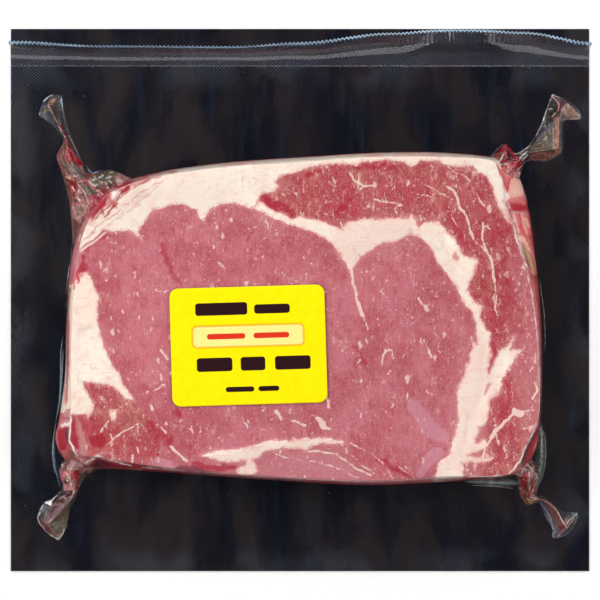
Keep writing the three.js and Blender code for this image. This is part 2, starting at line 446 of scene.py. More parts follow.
def wallPlace(angle, topHeight, share, sink):  # share is 1 at the wall's top, 0 at its foot
    lean = around(angle, foot[:, 2]) * share ** steak["leanCurve"] + sink
    ways = np.stack([around(angle, wayOut[:, 0]), around(angle, wayOut[:, 1])], -1)
    ways /= np.linalg.norm(ways, axis=-1, keepdims=True)
    x = around(angle, foot[:, 0]) - ways[:, 0] * lean
    y = around(angle, foot[:, 1]) - ways[:, 1] * lean
    return x, y, pack["backing"] + (topHeight - pack["backing"]) * share, ways


meat = {
    "cells": (312, 212),
    "wallRings": 14,
    "sink": 0.35,  # below the skin of film
    "footLift": 0.05,
    "ringGap": 0.6,  # how much further from the edge each ring of the wall counts as
    "drift": (3.5, (31, 47)),  # size and seeds of the noise that the borders wander by
    "fray": (1.5, (53, 59)),  # and of a finer one
    # how far each kind of border wanders by the two
    "wander": {"fat": (0.5, 0.35), "thread": (0.5, 0), "muscle": (1.1, 0), "paint": (0.4, 0.3)},
    "wallWander": 1.0,  # what is added to the fat's drift on the walls
    "sway": (13, 8, 83),  # amount, size and seed: bands on the walls don't stand upright
    "fatRise": 0.2,
    "lumps": [(0.07, 7, 0), (0.04, 2.2, 5)],  # height, size and seed of the noise on the face
    "colours": {
        "eye": (199, 112, 121), "eyeDeep": (184, 91, 102), "eyeDusk": (172, 74, 88),
        "eyeStrand": (162, 62, 80), "eyeGlow": (222, 150, 157), "eyePale": (206, 124, 138),
        "cap": (180, 72, 80), "capWarm": (186, 99, 92), "capDusk": (158, 46, 64),
        "capStrand": (150, 46, 64), "capGlow": (212, 134, 132), "flush": (178, 40, 60),
        "flushPale": (206, 132, 118), "palePart": (197, 124, 131), "grain": (216, 142, 150),
        "pit": (158, 60, 78), "fibre": (226, 164, 168), "fleck": (236, 200, 194),
        "wire": (236, 194, 192), "besideFat": (222, 156, 154), "blood": (168, 10, 46),
        "fat": (248, 236, 222), "fatShade": (245, 225, 211), "fatPale": (232, 194, 186),
        "fatGrain": (232, 186, 172), "fatBlush": (236, 196, 182), "vein": (234, 178, 168),
        "fatRim": (220, 130, 132), "nick": (196, 66, 82), "fatBlood": (190, 24, 58),
        "thread": (238, 206, 196), "hazeAndSheen": (210, 150, 166), "pocket": (108, 26, 42),
        # crease is a painted highlight: the film's bright line along the face's edge
        "wallLean": (190, 92, 92), "wallFat": (240, 206, 184), "crease": (250, 238, 242),
    },
    "fleckBend": (1.7, 2.4),  # size and amount of the noise that bends the flecks
    "depth": (0.97, 0.97, 0.97, 1),  # painted shade: how much the skin of film darkens the colour
    "wallPaintedLight": (1.3, 1.2, 1.2, 1),  # painted light: the walls' colour is brightened, as they are lit from the side only
    "subsurface": (0.12, (1.0, 0.35, 0.25), 1.2),  # weight, radius and scale
    "fat": {
        "capFat": [(-81.9, 18.9), (-86, 26), (-84, 38), (-72, 47), (-56, 54), (-49.9, 56.1), (0.4, 59.8),
            (84.2, 59.8), (89.7, 37.5), (75.8, 36.1), (76.4, 31.9), (77.3, 27.2), (74.5, 30),
            (72.2, 33.8), (71.1, 37.6), (70.2, 41.4), (67.8, 45.3), (64.5, 46.4), (63.1, 48.6),
            (57.8, 48.6), (52.6, 49.1), (50.7, 50.7), (44.5, 50.7), (40.7, 48.8), (37.3, 50.3),
            (30.6, 51), (24.4, 50.5), (20.1, 49.1), (16, 49.6), (10.4, 49.6), (4.8, 48.7), (-0.8, 46.9),
            (-5.2, 45.4), (-7.4, 45), (-8.6, 43.5), (-7.8, 41.7), (-8.6, 39.8), (-11.5, 38.3),
            (-14.1, 38.1), (-15.7, 36.1), (-17.1, 33.3), (-20.1, 34), (-23.8, 35), (-29.4, 34.6),
            (-33.1, 32.7), (-35, 28.3), (-36.5, 29.8), (-37.6, 32.4), (-41.3, 34.4), (-45.1, 35),
            (-50.3, 33.2), (-54, 32.4), (-56.2, 28.6), (-58.8, 25.3), (-57.7, 21.6), (-60.7, 24.6),
            (-62.9, 25.5), (-71.1, 24.9), (-80, 17.1)],
        "heartFat": [(-16.8, 33.2), (-12.3, 30.9), (-7.1, 28.6), (-2.6, 27.2), (1.1, 25.7), (4.7, 24.6),
            (8.5, 22.7), (11.9, 19.7), (14.5, 16.8), (16.7, 13.5), (18.2, 10.6), (19.3, 11.5),
            (21.6, 15.3), (25.9, 18.1), (30.6, 20.5), (36.4, 21.5), (38.8, 23.3), (41.2, 23.8),
            (44.5, 21.9), (47.4, 19.1), (49.2, 15.3), (51.7, 11.4), (55.4, 6.7), (57.8, 2.4),
            (60.2, -1.8), (63.1, -4.7), (64.3, -11.3), (64.6, -16.4), (61.8, -14.6), (62.7, -18.3),
            (60.9, -23.5), (59.1, -29.1), (56.7, -33.7), (57.6, -36.5), (57.6, -41.1), (57.2, -46.3),
            (55.4, -51.4), (54.4, -56.5), (50.7, -58.8), (48.8, -66.3), (48.1, -73.3), (60.5, -73.3),
            (59.5, -65.3), (60, -61.1), (59.1, -59.3), (63.2, -59.3), (63.7, -63), (64.6, -59.3),
            (69.8, -58.8), (71.1, -57), (65.6, -57.4), (60.9, -56.7), (67.9, -54.2), (68.8, -52.3),
            (67, -50.9), (64.2, -52.3), (63.7, -50.4), (65.6, -47.7), (65.1, -46.3), (67.4, -45.8),
            (68.8, -41.1), (69.3, -36.5), (72.1, -34.6), (73.5, -32.3), (73.9, -29.1), (75.8, -25.8),
            (78.6, -21.2), (81.4, -17.9), (76.7, -18.1), (78.6, -12.3), (74.9, -17), (72.1, -18.8),
            (68.4, -26.3), (69.3, -20.7), (69.3, -16.4), (69.8, -11.9), (67.5, -9.9), (65.6, -6.6),
            (66.7, -2.4), (64.5, -1.5), (62.1, 1.9), (60.9, 3.8), (63.1, 8.6), (65.5, 13.8), (65, 15.2),
            (60.7, 16.2), (59.3, 16.7), (56.9, 21.4), (52.6, 26.7), (50.7, 28.4), (45.5, 28.4),
            (43.4, 26.4), (42.4, 28.6), (40.9, 31.5), (39.3, 29.8), (35.4, 30.2), (29.2, 29.3),
            (23.5, 30), (20.2, 28.6), (16.9, 28.6), (15.6, 25.7), (11.9, 27.2), (8.5, 28.6), (4.7, 29.4),
            (0.4, 30.5), (-2.6, 29.6), (-9.3, 32.4), (-13.8, 35.7), (-15.7, 36.1)],
        "leftFat": [(-78.5, 10.8), (-76.7, 8.9), (-74.4, 3.7), (-73.3, 1.1), (-73.7, -4.7),
            (-73.1, -10.6), (-71.3, -17.5), (-68.7, -23.3), (-66, -26.9), (-63.4, -31.7), (-60.3, -37),
            (-64.3, -36.1), (-66, -33.5), (-69.6, -30.9), (-79.3, -29.8), (-78, -32.6), (-75.3, -37.9),
            (-75.3, -40.5), (-77.1, -43.4), (-77.5, -41.9), (-82.8, -41.9), (-92.2, -41.9), (-92.2, 3.3),
            (-83, 5.9), (-80.4, 9.7)],
        "lowerFat": [(-37.2, -56.8), (-32.6, -55.1), (-21.7, -54.3), (-16.3, -52.5), (-10, -51.1),
            (-2.9, -51.3), (-1.6, -49.9), (-0.8, -50.7), (6.3, -50.1), (12.2, -50.5), (18, -52.4),
            (13.9, -52.2), (8.4, -52.6), (4.2, -53.4), (2.1, -55.1), (-2.1, -54), (-7.9, -54.3),
            (-12.5, -55.5), (-15, -57.2), (-17.1, -58.4), (-14.9, -62.2), (-16.3, -63.4), (-21.3, -64.3),
            (-23.8, -62.2), (-20, -60.1), (-19.7, -58.4), (-23, -59.3), (-28.1, -59.1), (-32.2, -57.6)],
        "wallFat": [(78.8, 24.8), (81.7, 22.2), (84.6, 17.1), (87.1, 13.5), (86.4, 9.8), (82.8, 13.5),
            (79.8, 18.6)],
        "speckle": [(-69.3, -40.5), (-66.7, -40.1), (-66.9, -43.8), (-68.5, -44.3)],
    },
    "threads": [  # width and path of each thin seam and fleck of fat
        (1.17, [(18.6, 11.3), (19.5, 6.6), (20.8, 0), (22.6, -5.5)]),
        (0.51, [(22.6, -5.5), (23.7, -8), (24.8, -10.2)]),
        (0.8, [(20.4, 49.2), (23, 51.4)]),
        (0.51, [(18, -52.4), (22.2, -54), (26.6, -56.5), (31.4, -60.5), (34.3, -65.6)]),
        (0.73, [(2.9, -55.1), (8.8, -55.5), (13.4, -56.4), (16.3, -58.4), (20.1, -60.9), (25.9, -63.8)]),
        (0.47, [(18.6, -56.5), (22.8, -60.2), (27.4, -63.2)]),
        (0.4, [(-9.6, -55.1), (-6.3, -57.2), (2.1, -58.8), (8.4, -59.7), (14.7, -61.4), (21, -65.2)]),
        (0.55, [(36.3, -61.1), (39.4, -63.4), (42.7, -66.4)]),
        (0.44, [(15.1, -51.8), (17, -54)]),
        (0.8, [(18.2, 46.3), (20.1, 43.4), (23, 41.6), (27.7, 41.6)]),
        (0.58, [(23.7, 41.4), (21.5, 40.1)]),
        (0.58, [(26.6, 37), (30.3, 36.1), (33.2, 35.4), (37.6, 34.8)]),
        (0.73, [(37.6, 34.8), (35.4, 34.3), (34.6, 32.4), (35.7, 31.7)]),
        (0.95, [(53.2, 41.6), (55.4, 40.5), (57.6, 37.2), (58.3, 33.9), (60.9, 30.6), (62, 26.2),
            (63.1, 22.2)]),
        (0.44, [(57.6, 33.5), (59.4, 32.4)]),
        (0.73, [(66.7, 28.1), (66.4, 24.1), (67.1, 19.7), (69.3, 15.7), (70.4, 11.3), (71.1, 6.9)]),
        (1.09, [(69.3, 15.7), (70.4, 11.3), (71.1, 6.6)]),
        (0.51, [(71.1, 6.6), (71.8, 1.8), (71.1, -2.2), (71.8, -5.8)]),
        (0.58, [(63.1, 22.2), (65.3, 20), (68.5, 17.1)]),
        (0.51, [(66.7, 26.6), (68.5, 27.3), (69.6, 25.9)]),
        (0.4, [(64.2, 38.6), (66.7, 35), (68.2, 32.4)]),
        (0.47, [(46.3, 41.9), (50.7, 39.5), (55.8, 36.4)]),
        (0.4, [(39.7, 39.4), (45.6, 38.3), (49.2, 36.8)]),
        (0.44, [(54, 48.8), (55.8, 46.7), (59.8, 45.6), (62.3, 43.4)]),
        (0.4, [(54, 33.9), (55.8, 29.9), (57.6, 26.6)]),
        (0.8, [(29.9, -24.1), (29.9, -20.8), (31.4, -18.1), (33.2, -18.2), (33.9, -21.2)]),
        (1.09, [(47, -19), (48.1, -20.8)]),
        (0.44, [(47.8, -19.7), (45.9, -16), (45.2, -14.4)]),
        (0.87, [(43.2, 0.5), (45.4, -2.2)]),
        (0.36, [(26.3, 13.5), (26.6, 7.3), (29.9, 2.5), (33.2, -0.7)]),
        (0.8, [(29.5, 2.9), (30.3, 2)]),
        (0.66, [(23.7, -13.9), (24.8, -15.3)]),
        (0.51, [(31.7, -27), (33.5, -25.2)]),
        (0.58, [(39, -33.5), (39.4, -36.5)]),
        (0.66, [(46.3, -33.5), (47.8, -34.3)]),
        (2.19, [(6.6, -43.4), (9.1, -46.3)]),
        (1.24, [(8.4, -45.6), (10.6, -47)]),
        (1.24, [(-8.7, -40.8), (-6.6, -43.4)]),
        (0.95, [(-3.6, -43.6), (1.8, -45.6)]),
        (0.73, [(-13.1, -38.5), (-12.4, -40.5)]),
        (1.17, [(9.5, -34.6), (10.4, -39.4)]),
        (1.02, [(-47, -53.6), (-44.1, -56.2), (-41.2, -59.1)]),
        (0.58, [(-20.8, -43), (-18.9, -47.2)]),
        (0.73, [(-52.5, 3.8), (-49.9, 2.9), (-48.1, 3.6)]),
        (0.8, [(-70.7, 7.3), (-70, 6.9)]),
        (0.8, [(-64.7, -3.7), (-64.2, -4.4)]),
        (0.66, [(-62.1, -12.8), (-61.8, -14.2)]),
        (0.73, [(-68, -17.9), (-67.8, -19)]),
        (1.02, [(-50.7, -18.6), (-49.2, -20.1), (-48.1, -21.5)]),
        (0.51, [(-53.6, -33), (-51.4, -32.5), (-49.2, -30.5)]),
        (0.51, [(-58.7, -34.6), (-55.8, -34.3), (-55.4, -33.2)]),
        (0.73, [(-30.8, 28.4), (-30.2, 26.2)]),
        (0.66, [(-31.7, 20), (-31.3, 18.9)]),
        (0.58, [(-29.9, 13.8), (-27.3, 11.3)]),
        (0.44, [(-12.4, 28.8), (-10.6, 24.8)]),
        (0.44, [(-6.6, 10.2), (-3.6, 6.2)]),
        (0.58, [(3.7, 13.3), (4.2, 12.8)]),
        (1.09, [(-54.3, -38.7), (-53.6, -39.7)]),
        (0.8, [(-50.7, -45.9), (-48.8, -48.5)]),
        (0.8, [(-68.9, -49.2), (-68.5, -52.9)]),
        (0.66, [(-61.2, -56.9), (-60.9, -60.2)]),
        (0.73, [(-59.1, -53.6), (-58.7, -55.8)]),
        (2.5, [(78.2, -40.8), (80.4, -41.6)]),
        (1.2, [(78, -41.2), (74.4, -44.5), (71.1, -47.8)]),
        (1.7, [(71.8, -47), (69.6, -50)]),
        (0.7, [(70.2, -49.4), (67.4, -54), (66.2, -57.6)]),
        (0.58, [(71.1, -48.1), (72.6, -52.9)]),
        (0.58, [(80.9, -46.7), (85.3, -46.1)]),
        (0.58, [(78.4, -40.8), (85.3, -40.1)]),
        (0.66, [(85.3, -24.4), (83.9, -25.9)]),
        (0.8, [(85.7, -29.9), (86.4, -33.2), (84.6, -36.1)]),
        (0.66, [(-59.4, -44.9), (-63.4, -47.4), (-70.4, -52.5)]),
        (0.58, [(-69.6, -43.8), (-72.5, -47.8)]),
    ],
    "cap": [  # where the darker muscles lie, round the eye
        [(-15, 36), (-9, 31), (0, 28), (17, 26), (23, 28), (42, 27), (50, 21), (56, 12), (61, 0),
            (65.5, -12), (67, -24), (66, -38), (61, -54), (56, -90), (110, -90), (110, 70), (-6, 70),
            (-8, 44)],
        [(-81, -29.5), (-66, -32), (-58, -39), (-52, -48), (-50, -60), (-56, -75), (-100, -75),
            (-100, -43), (-79, -42)],
    ],
    "pale": [  # share, edge and outline of paler muscle and pinker fat
        (0.75, 1.2, [(-14, -58), (-2, -54.5), (12, -56), (30, -66), (34, -80), (-20, -80)]),
        (0.35, 1.2, [(-70.1, -53.7), (-54.4, -52.3), (-55.5, -60.3), (-71.2, -56.3)]),
        (0.3, 1, [(35.4, -51.8), (44.1, -50.3), (43, -55.8), (41.2, -63.8), (36.8, -58)]),
        (0.45, 1.5, [(75.4, 19.3), (80.7, 17.9), (85.4, -0.4), (95, -16.8), (95, -60), (78, -50),
            (78.7, -36.9), (75, -11.3)]),
        (0.1, 5, [(-81.7, 17.9), (-72.6, 36.1), (-48.9, 46.3), (-27, 50), (-27, 36.1), (-50.7, 30.6),
            (-65.3, 25.9), (-74.4, 22.3)]),
        (0.45, 4, [(11.3, 28.8), (42.3, 32.4), (44.1, 23.3), (19.3, 10.6), (11.3, 17.9)]),
        (0.45, 4, [(-37.9, -59.5), (-17.9, -53.3), (0.4, -51.5), (16.8, -53.3), (16.8, -66.1),
            (-25.2, -66.1)]),
        (0.4, 4, [(56.9, -11.3), (73.4, -16.8), (71.5, -35), (66.1, -66.1), (47.8, -66.1), (55.1, -44.2)]),
        (0.9, 0.8, [(81.1, 20.6), (84.8, 19.9), (87, 11.4), (85.2, 10), (82.6, 15.1)]),
    ],
    "dark": [  # share, edge and outline of maroon pockets at the foot of the film
        (0.9, 0.4, [(-74.2, -57.8), (-83.5, -62.7), (-60.7, -62.5)]),
        (0.85, 0.4, [(-45.7, -60.8), (-40.2, -60.3), (-32.1, -62.3), (-32.1, -64.4), (-43.9, -64.1)]),
        (1, 0.5, [(88.5, -45.4), (90.5, -52), (87.5, -60), (81.1, -61.1), (84.4, -54.6)]),
        (0.7, 0.5, [(86.2, 13.7), (88.8, -0.4), (89.6, -17), (90.4, -29.9), (93, -17), (91, 13)]),
    ],
    "blood": [  # path, spread and strength of each pool or streak
        ([(-70.2, 38.8), (-73.9, 34.7), (-76.4, 30)], 2.6, 1),
        ([(-81.2, 16.1), (-79, 13.5), (-80.8, 8.8)], 1.9, 1),
        ([(-77.9, 17.6), (-69.1, 28.1), (-54.4, 38.5)], 0.5, 0.6),
        ([(-80.5, 19.7), (-71.4, 29.4), (-58.3, 38.5), (-49.2, 43.7)], 0.6, 0.65),
        ([(-75.6, 21.6), (-63.6, 33.6), (-50.8, 41.3)], 0.5, 0.55),
        ([(-72.7, 24.5), (-58.1, 35.1)], 0.45, 0.5),
        ([(-67, 39.3), (-59.8, 42.5), (-50.9, 45.2)], 1, 0.95),
        ([(-70.2, 48.2), (-60.6, 47.3), (-51.1, 46.2)], 0.8, 1),
        ([(-28.5, 49.7), (-17.2, 50.4)], 0.9, 0.9),
        ([(-13.5, 37.9), (-9.8, 35), (-6.6, 33.9), (-3.3, 31.7)], 2.2, 0.95),
        ([(-61.6, 13.1), (-59.4, 9.8), (-56.9, 5.8)], 1.8, 0.5),
        ([(-51, 30), (-50.1, 25.5), (-49.9, 20.4)], 0.9, 0.5),
        ([(-49.9, 20.4), (-48.8, 13.8), (-46.3, 9.5), (-43.9, 5.8)], 1.2, 0.75),
        ([(-19, 22.5), (-17.8, 24.8)], 1.1, 0.8),
        ([(1.5, 45.2), (6.6, 47)], 1.4, 0.8),
        ([(21.5, 48.5), (34.3, 48.5)], 1.2, 0.8),
        ([(13.9, 30.6), (16, 34.3), (17.9, 37.5)], 2.2, 0.85),
        ([(24, 53), (60, 53)], 0.8, 0.8),
        ([(53.2, 33.2), (55.8, 28.8), (58.7, 23), (61.3, 18.6)], 2.6, 0.6),
        ([(66, 16), (65.3, 8.7), (68.5, -0.4), (71.5, -11.3)], 3.2, 0.6),
        ([(56.5, 16.4), (57.2, 14.9)], 1.2, 1),
        ([(70.4, -15.5), (71.5, -20.8), (69.3, -25.9)], 1, 1.1),
        ([(69.6, -30), (67.2, -35.5)], 0.55, 0.9),
        ([(18.6, -15), (24, -23)], 0.9, 0.75),
        ([(-46, -40.5), (-44, -41.5)], 1.6, 0.75),
        ([(-54.4, -46), (-51.5, -48.6), (-48.5, -51.5)], 2.8, 0.85),
        ([(-74.4, -51.5), (-70.8, -54), (-66.1, -52.9)], 2, 0.5),
        ([(-41.2, -51.5), (-39.8, -55.9), (-34.3, -58)], 2.6, 0.55),
        ([(-39, -60), (-30, -61.5), (-24, -60.5)], 1.3, 0.95),
        ([(-54.3, -59.7), (-52.1, -60.4)], 1, 1.1),
        ([(28, -58), (36, -62), (43, -67)], 1.3, 0.8),
        ([(45.1, -56), (47.5, -52.4), (50.6, -52.4), (53.6, -54.2)], 0.8, 0.55),
        ([(72.6, -53.3), (73.4, -56.9), (69.7, -59.5)], 1.6, 0.55),
        ([(68.3, -47.8), (70.8, -50.4)], 1.8, 0.5),
        ([(78.1, -34), (79.2, -36.9)], 1, 0.6),
        ([(52.2, -67), (67, -66.7), (80.4, -65.4)], 0.7, 1),
        ([(76.5, 35.3), (80.2, 33.8)], 1.3, 1),
        ([(74.5, 37.2), (75.2, 35)], 1.3, 0.6),
        ([(-84, -50), (-86, -60), (-78, -62)], 2.2, 0.8),
        ([(74, 30), (74, 12), (78, -8)], 7, 0.6),
        ([(72, -30), (78, -50)], 7, 0.52),
        ([(-76, -44), (-66, -54), (-58, -56)], 6, 0.6),
    ],
    "patches": [  # colour, cover, softness and outline; white patches are painted highlights
        ("salmon", 0.8, 0.4, [(72, 48.2), (79.2, 48.3), (75.7, 39.5), (74.3, 41.1)]),
        ("cream", 0.85, 0.7, [(79.9, 47.8), (82.3, 46.8), (83.4, 41.7), (83.9, 38.8), (76.7, 38.1),
            (76.1, 39.9)]),
        ("cream", 0.6, 1, [(79.5, 42.7), (82.7, 42.4), (82.8, 39.7), (78.5, 39.3)]),
        ("salmon", 0.85, 0.7, [(76.3, 37.7), (84.1, 38.8), (84.8, 35.6), (77.5, 35.5)]),
        ("crimson", 0.9, 0.6, [(76.3, 35.8), (85.2, 35.2), (85.4, 33.3), (77.6, 32.1)]),
        ("salmon", 0.85, 0.6, [(77.4, 31.4), (85.5, 31.1), (87.2, 23.4), (78.9, 24.7)]),
        ("cream", 0.8, 0.4, [(82.3, 30.6), (84.4, 30.4), (85.6, 26.9), (84.7, 26.5)]),
        ("cream", 0.95, 0.3, [(79.4, 24.2), (82.7, 23.1), (86.1, 16.9), (83.8, 18.6), (80.9, 21.8)]),
        ("tan", 0.9, 0.4, [(80.4, 21.9), (83.8, 18.9), (86.9, 14.5), (87.6, 9.1), (85.9, 9.4), (82, 15.3)]),
        ("crimson", 0.7, 0.5, [(84.5, 24.7), (87, 23.4), (88.8, 13.1), (87.2, 15.5)]),
        ("maroon", 0.85, 0.5, [(86, 9.1), (88.3, 9.5), (90.4, -0.4), (86.8, -0.4)]),
        ("maroon", 0.85, 0.5, [(87, 1.9), (90.4, 1.9), (91.1, -15.7), (90.1, -29.8), (88.8, -29.6),
            (88.1, -10.8)]),
        ("maroon", 0.95, 0.4, [(89, -45.2), (89.7, -48.4), (88, -57.5), (82.5, -63), (80.3, -58.8),
            (83.5, -50.4)]),
        ("crimson", 0.85, 0.4, [(86.1, -49.6), (87.8, -50.9), (86.5, -58.4), (82.1, -60)]),
        ("crimson", 0.5, 0.8, [(76.3, -58.1), (80, -59.3), (81.2, -64.3), (77.2, -62.3)]),
        ("crimson", 0.9, 0.6, [(-79.1, 34.7), (-72, 36.8), (-69.1, 39.6), (-70.8, 34.6), (-74.3, 31.1),
            (-75.4, 29.4), (-78.1, 30.8)]),
        ("blush", 0.75, 0.8, [(-70.1, 41.2), (-65.3, 40.4), (-68, 35.3), (-70.8, 34.3), (-69.8, 37.8)]),
        ("white", 0.6, 0.6, [(-68.5, 39.6), (-66.3, 39.5), (-68.4, 36.4)]),
        ("crimson", 0.85, 0.5, [(-65.3, 39.5), (-62, 42.4), (-61.5, 40.2), (-64.9, 38.1)]),
        ("blush", 0.6, 0.6, [(-83.9, 17.9), (-81.3, 17.6), (-82.5, 12), (-82.9, 12.1)]),
        ("tan", 0.85, 0.5, [(-85.8, 4.4), (-83.9, 5), (-84.8, -2), (-84.8, -11.4), (-87.3, -11.6),
            (-87.3, -0.9)]),
        ("salmon", 0.8, 0.5, [(-87.5, -7.8), (-84.3, -7.7), (-84.7, -26.4), (-85.2, -36.9),
            (-86.7, -39.7), (-86.4, -26.6)]),
        ("blush", 0.85, 0.5, [(-85.9, -40), (-83.7, -39.7), (-83.8, -44.6), (-89, -45.7), (-88.1, -43)]),
        ("white", 0.9, 0.35, [(-89.2, -46.1), (-83.9, -44.6), (-84, -45.6), (-88.6, -46.8)]),
        ("crimson", 0.95, 0.4, [(-89.8, -47.6), (-84.1, -46.1), (-84.3, -51.9), (-85.9, -55.3),
            (-89.4, -55.8), (-90, -51.6)]),
        ("maroon", 0.85, 0.4, [(-85.9, -46.7), (-84.1, -46.5), (-84.4, -51.9), (-85.5, -52.8)]),
        ("brown", 0.85, 0.4, [(-85.9, -55.3), (-82.3, -54.1), (-80.8, -57.6), (-84.2, -60.9),
            (-87.2, -61.1)]),
        ("crimson", 0.75, 0.6, [(-83.2, -42.3), (-81.9, -43.4), (-81.5, -48.6), (-80.2, -54.7),
            (-82.8, -54.1), (-83.7, -50.7)]),
        ("blush", 0.75, 0.7, [(-81.7, -42.1), (-80, -44.9), (-78.3, -51.6), (-77.6, -56.2),
            (-80.6, -62.5), (-85.3, -62.8), (-82.3, -59.9), (-80.2, -59.3), (-80.7, -49.7)]),
        ("crimson", 0.7, 0.8, [(-77.8, -49.7), (-71.4, -48.2), (-69.9, -51.6), (-72.2, -54.5),
            (-75.9, -53.8)]),
        ("blush", 0.8, 0.7, [(-80.8, -60.6), (-75.4, -57), (-72.2, -54.9), (-69.9, -55.7), (-74.8, -57.8),
            (-80.3, -63)]),
        ("crimson", 0.9, 0.5, [(-79.5, -62.4), (-74.1, -57.5), (-68, -59.5), (-62.4, -62), (-62.9, -63.1),
            (-73.8, -63.5)]),
        ("maroon", 0.85, 0.4, [(-78.8, -62), (-74.2, -58.2), (-69, -60.2), (-73.1, -63)]),
    ],
    "wallPatches": [  # the same, on the walls only
        ("mauve", 0.9, 0.6, [(-90, 24), (-82, 34), (-77, 30), (-80, 20), (-86, 16)]),
        ("crimson", 0.95, 0.6, [(-84, 33), (-72, 46), (-63, 47.5), (-64, 41), (-71, 37), (-78, 29)]),
        ("mauve", 0.9, 0.7, [(-64, 42), (-64, 50), (-50, 53), (-50, 46)]),
        ("crimson", 0.8, 1.5, [(-62, -66), (-66, -58), (-38, -58), (-42, -70)]),
        ("salmon", 0.5, 4, [(-34, -72), (-30, -58), (-12, -58), (-8, -72)]),
        ("crimson", 0.55, 4, [(2, -74), (-6, -58), (26, -58), (18, -74)]),
        ("salmon", 0.5, 4, [(34, -74), (30, -58), (50, -58), (44, -74)]),
        ("crimson", 0.55, 3, [(48, -74), (56, -58), (80, -58), (74, -74)]),
    ],
    "lines": [  # colour, cover, half width and path; white lines are painted highlights on the film's creases, copper and gold ones painted glints
        ("red", 0.9, 0.5, [(79.8, 48.8), (77.5, 44.7), (75.7, 39.5)]),
        ("red", 0.9, 0.4, [(71.9, 49.1), (73.7, 45.4), (75.4, 40.6)]),
        ("pale", 0.8, 0.35, [(77.1, 31.8), (80.6, 32.2), (85.5, 31.6)]),
        ("mauve", 0.8, 0.3, [(79.9, 30.5), (79.8, 26.5)]),
        ("red", 0.8, 0.3, [(80.9, 27.7), (81, 25.2)]),
        ("maroon", 0.9, 0.35, [(78, 26.8), (78.7, 24), (80.1, 20.2), (83.9, 12.4), (86.1, 7.3)]),
        ("crimson", 0.8, 0.4, [(83.2, 41.7), (85.1, 32.7), (87, 22.7), (88.8, 12.7), (90.4, 2)]),
        ("copper", 0.8, 0.3, [(86.5, 9.1), (87.9, -0.4)]),
        ("copper", 0.8, 0.3, [(88.7, -2.8), (89.1, -9.9), (88.9, -16.5)]),
        ("crimson", 0.8, 0.3, [(90.4, 0.5), (90.9, -8.5), (90.8, -16.6)]),
        ("blush", 0.7, 0.3, [(90.2, -18.1), (89.7, -26.9)]),
        ("copper", 0.9, 0.35, [(88.6, -52.7), (87.3, -57.1)]),
        ("crimson", 0.75, 0.4, [(-65.2, 39.2), (-66.6, 36.4), (-70.1, 31.5)]),
        ("crimson", 0.7, 0.35, [(-66.3, 35.3), (-69.1, 32.9), (-71.2, 30.4)]),
        ("crimson", 0.65, 0.35, [(-71.2, 33.2), (-74, 30.1), (-75.9, 29.1)]),
        ("red", 0.6, 0.35, [(-67.7, 36.4), (-70.1, 33.9), (-71.9, 31.8)]),
        ("blush", 0.8, 0.45, [(-70.2, 24.7), (-75.8, 20.7), (-80.4, 17.4)]),
        ("red", 0.75, 0.3, [(-71.2, 25.1), (-76.8, 21), (-80.8, 18.3)]),
        ("red", 0.7, 0.3, [(-69.9, 23.8), (-74.4, 20.7), (-79.3, 17.6)]),
        ("white", 0.7, 0.3, [(-70.7, 24.2), (-75.4, 21.1), (-79.6, 17.9)]),
        ("red", 0.85, 0.5, [(-81, 8.5), (-80.3, 6.7), (-81.1, 6.4)]),
        ("red", 0.8, 0.4, [(-82.1, 5.7), (-82.5, 4)]),
        ("crimson", 0.7, 0.4, [(-83.7, 21.1), (-81.2, 21.2)]),
        ("red", 0.6, 0.4, [(-82.5, 12), (-84.9, 5.8)]),
        ("cream", 0.9, 0.35, [(-87.2, -0.2), (-87.1, -11.6)]),
        ("copper", 0.9, 0.35, [(-86.2, 1.5), (-85.9, -7.7)]),
        ("brown", 0.9, 0.4, [(-85.9, -7.7), (-85.7, -9.4)]),
        ("brown", 0.85, 0.3, [(-85.9, -7.8), (-85.9, -19.1), (-86.1, -28.9)]),
        ("cream", 0.9, 0.35, [(-87.3, -7.8), (-86.7, -17.3), (-87.5, -26.8), (-86.9, -37.9)]),
        ("crimson", 0.7, 0.35, [(-87.6, -43.3), (-84.2, -43.5)]),
        ("blush", 0.9, 0.35, [(-90.5, -48.9), (-90.4, -53.5), (-89.6, -59.2), (-89.3, -63)]),
        ("copper", 0.9, 0.3, [(-85.6, -56.4), (-84.3, -60.1)]),
        ("copper", 0.8, 0.3, [(-74.6, -63), (-68.2, -62.3), (-62.9, -62.8)]),
        ("white", 0.85, 0.35, [(-78.6, -59.9), (-74.1, -56.9), (-67.8, -58.7), (-62.1, -61)]),
        ("white", 0.9, 0.32, [(79.1, 21.9), (81.2, 17.1), (82.9, 10.7), (84, 5.5), (85, -0.4), (86, -6),
            (87, -15.3)]),
        ("white", 0.8, 0.3, [(87, -15.3), (87.5, -26.5), (87.7, -40.8), (87.3, -44.1), (84.8, -49),
            (81.8, -55.1), (80.3, -58.7), (76.2, -63.7)]),
        ("white", 0.7, 0.28, [(72.6, 46), (74.9, 39.4), (76.6, 33), (79.1, 21.9)]),
        ("cream", 0.8, 0.45, [(78.2, 31), (79.2, 27.8), (80.2, 24.6)]),
        ("cream", 0.75, 0.5, [(81.8, 31.6), (82.6, 28.2), (83.8, 24.4)]),
        ("red", 0.8, 0.35, [(80.6, 31.8), (81.4, 27.6), (82.6, 23.6)]),
        ("red", 0.8, 0.4, [(84.8, 33), (86.6, 22.8), (88.2, 12.8), (89.6, 2)]),
        ("gold", 0.7, 0.35, [(82.8, 20.2), (84.8, 15), (86, 10)]),
        ("red", 0.7, 0.3, [(87.4, 8), (88.8, -4), (89.4, -16)]),
        ("red", 0.75, 0.35, [(88.2, -46.5), (87.6, -52.5), (85.6, -57.5)]),
        ("gold", 0.8, 0.25, [(87.4, -53.6), (86.2, -56)]),
        ("red", 0.8, 0.5, [(-76.4, 38.8), (-73.4, 35.4), (-71.6, 31.4)]),
        ("red", 0.75, 0.4, [(-72.6, 40.6), (-69.2, 36.8), (-66.6, 33.6)]),
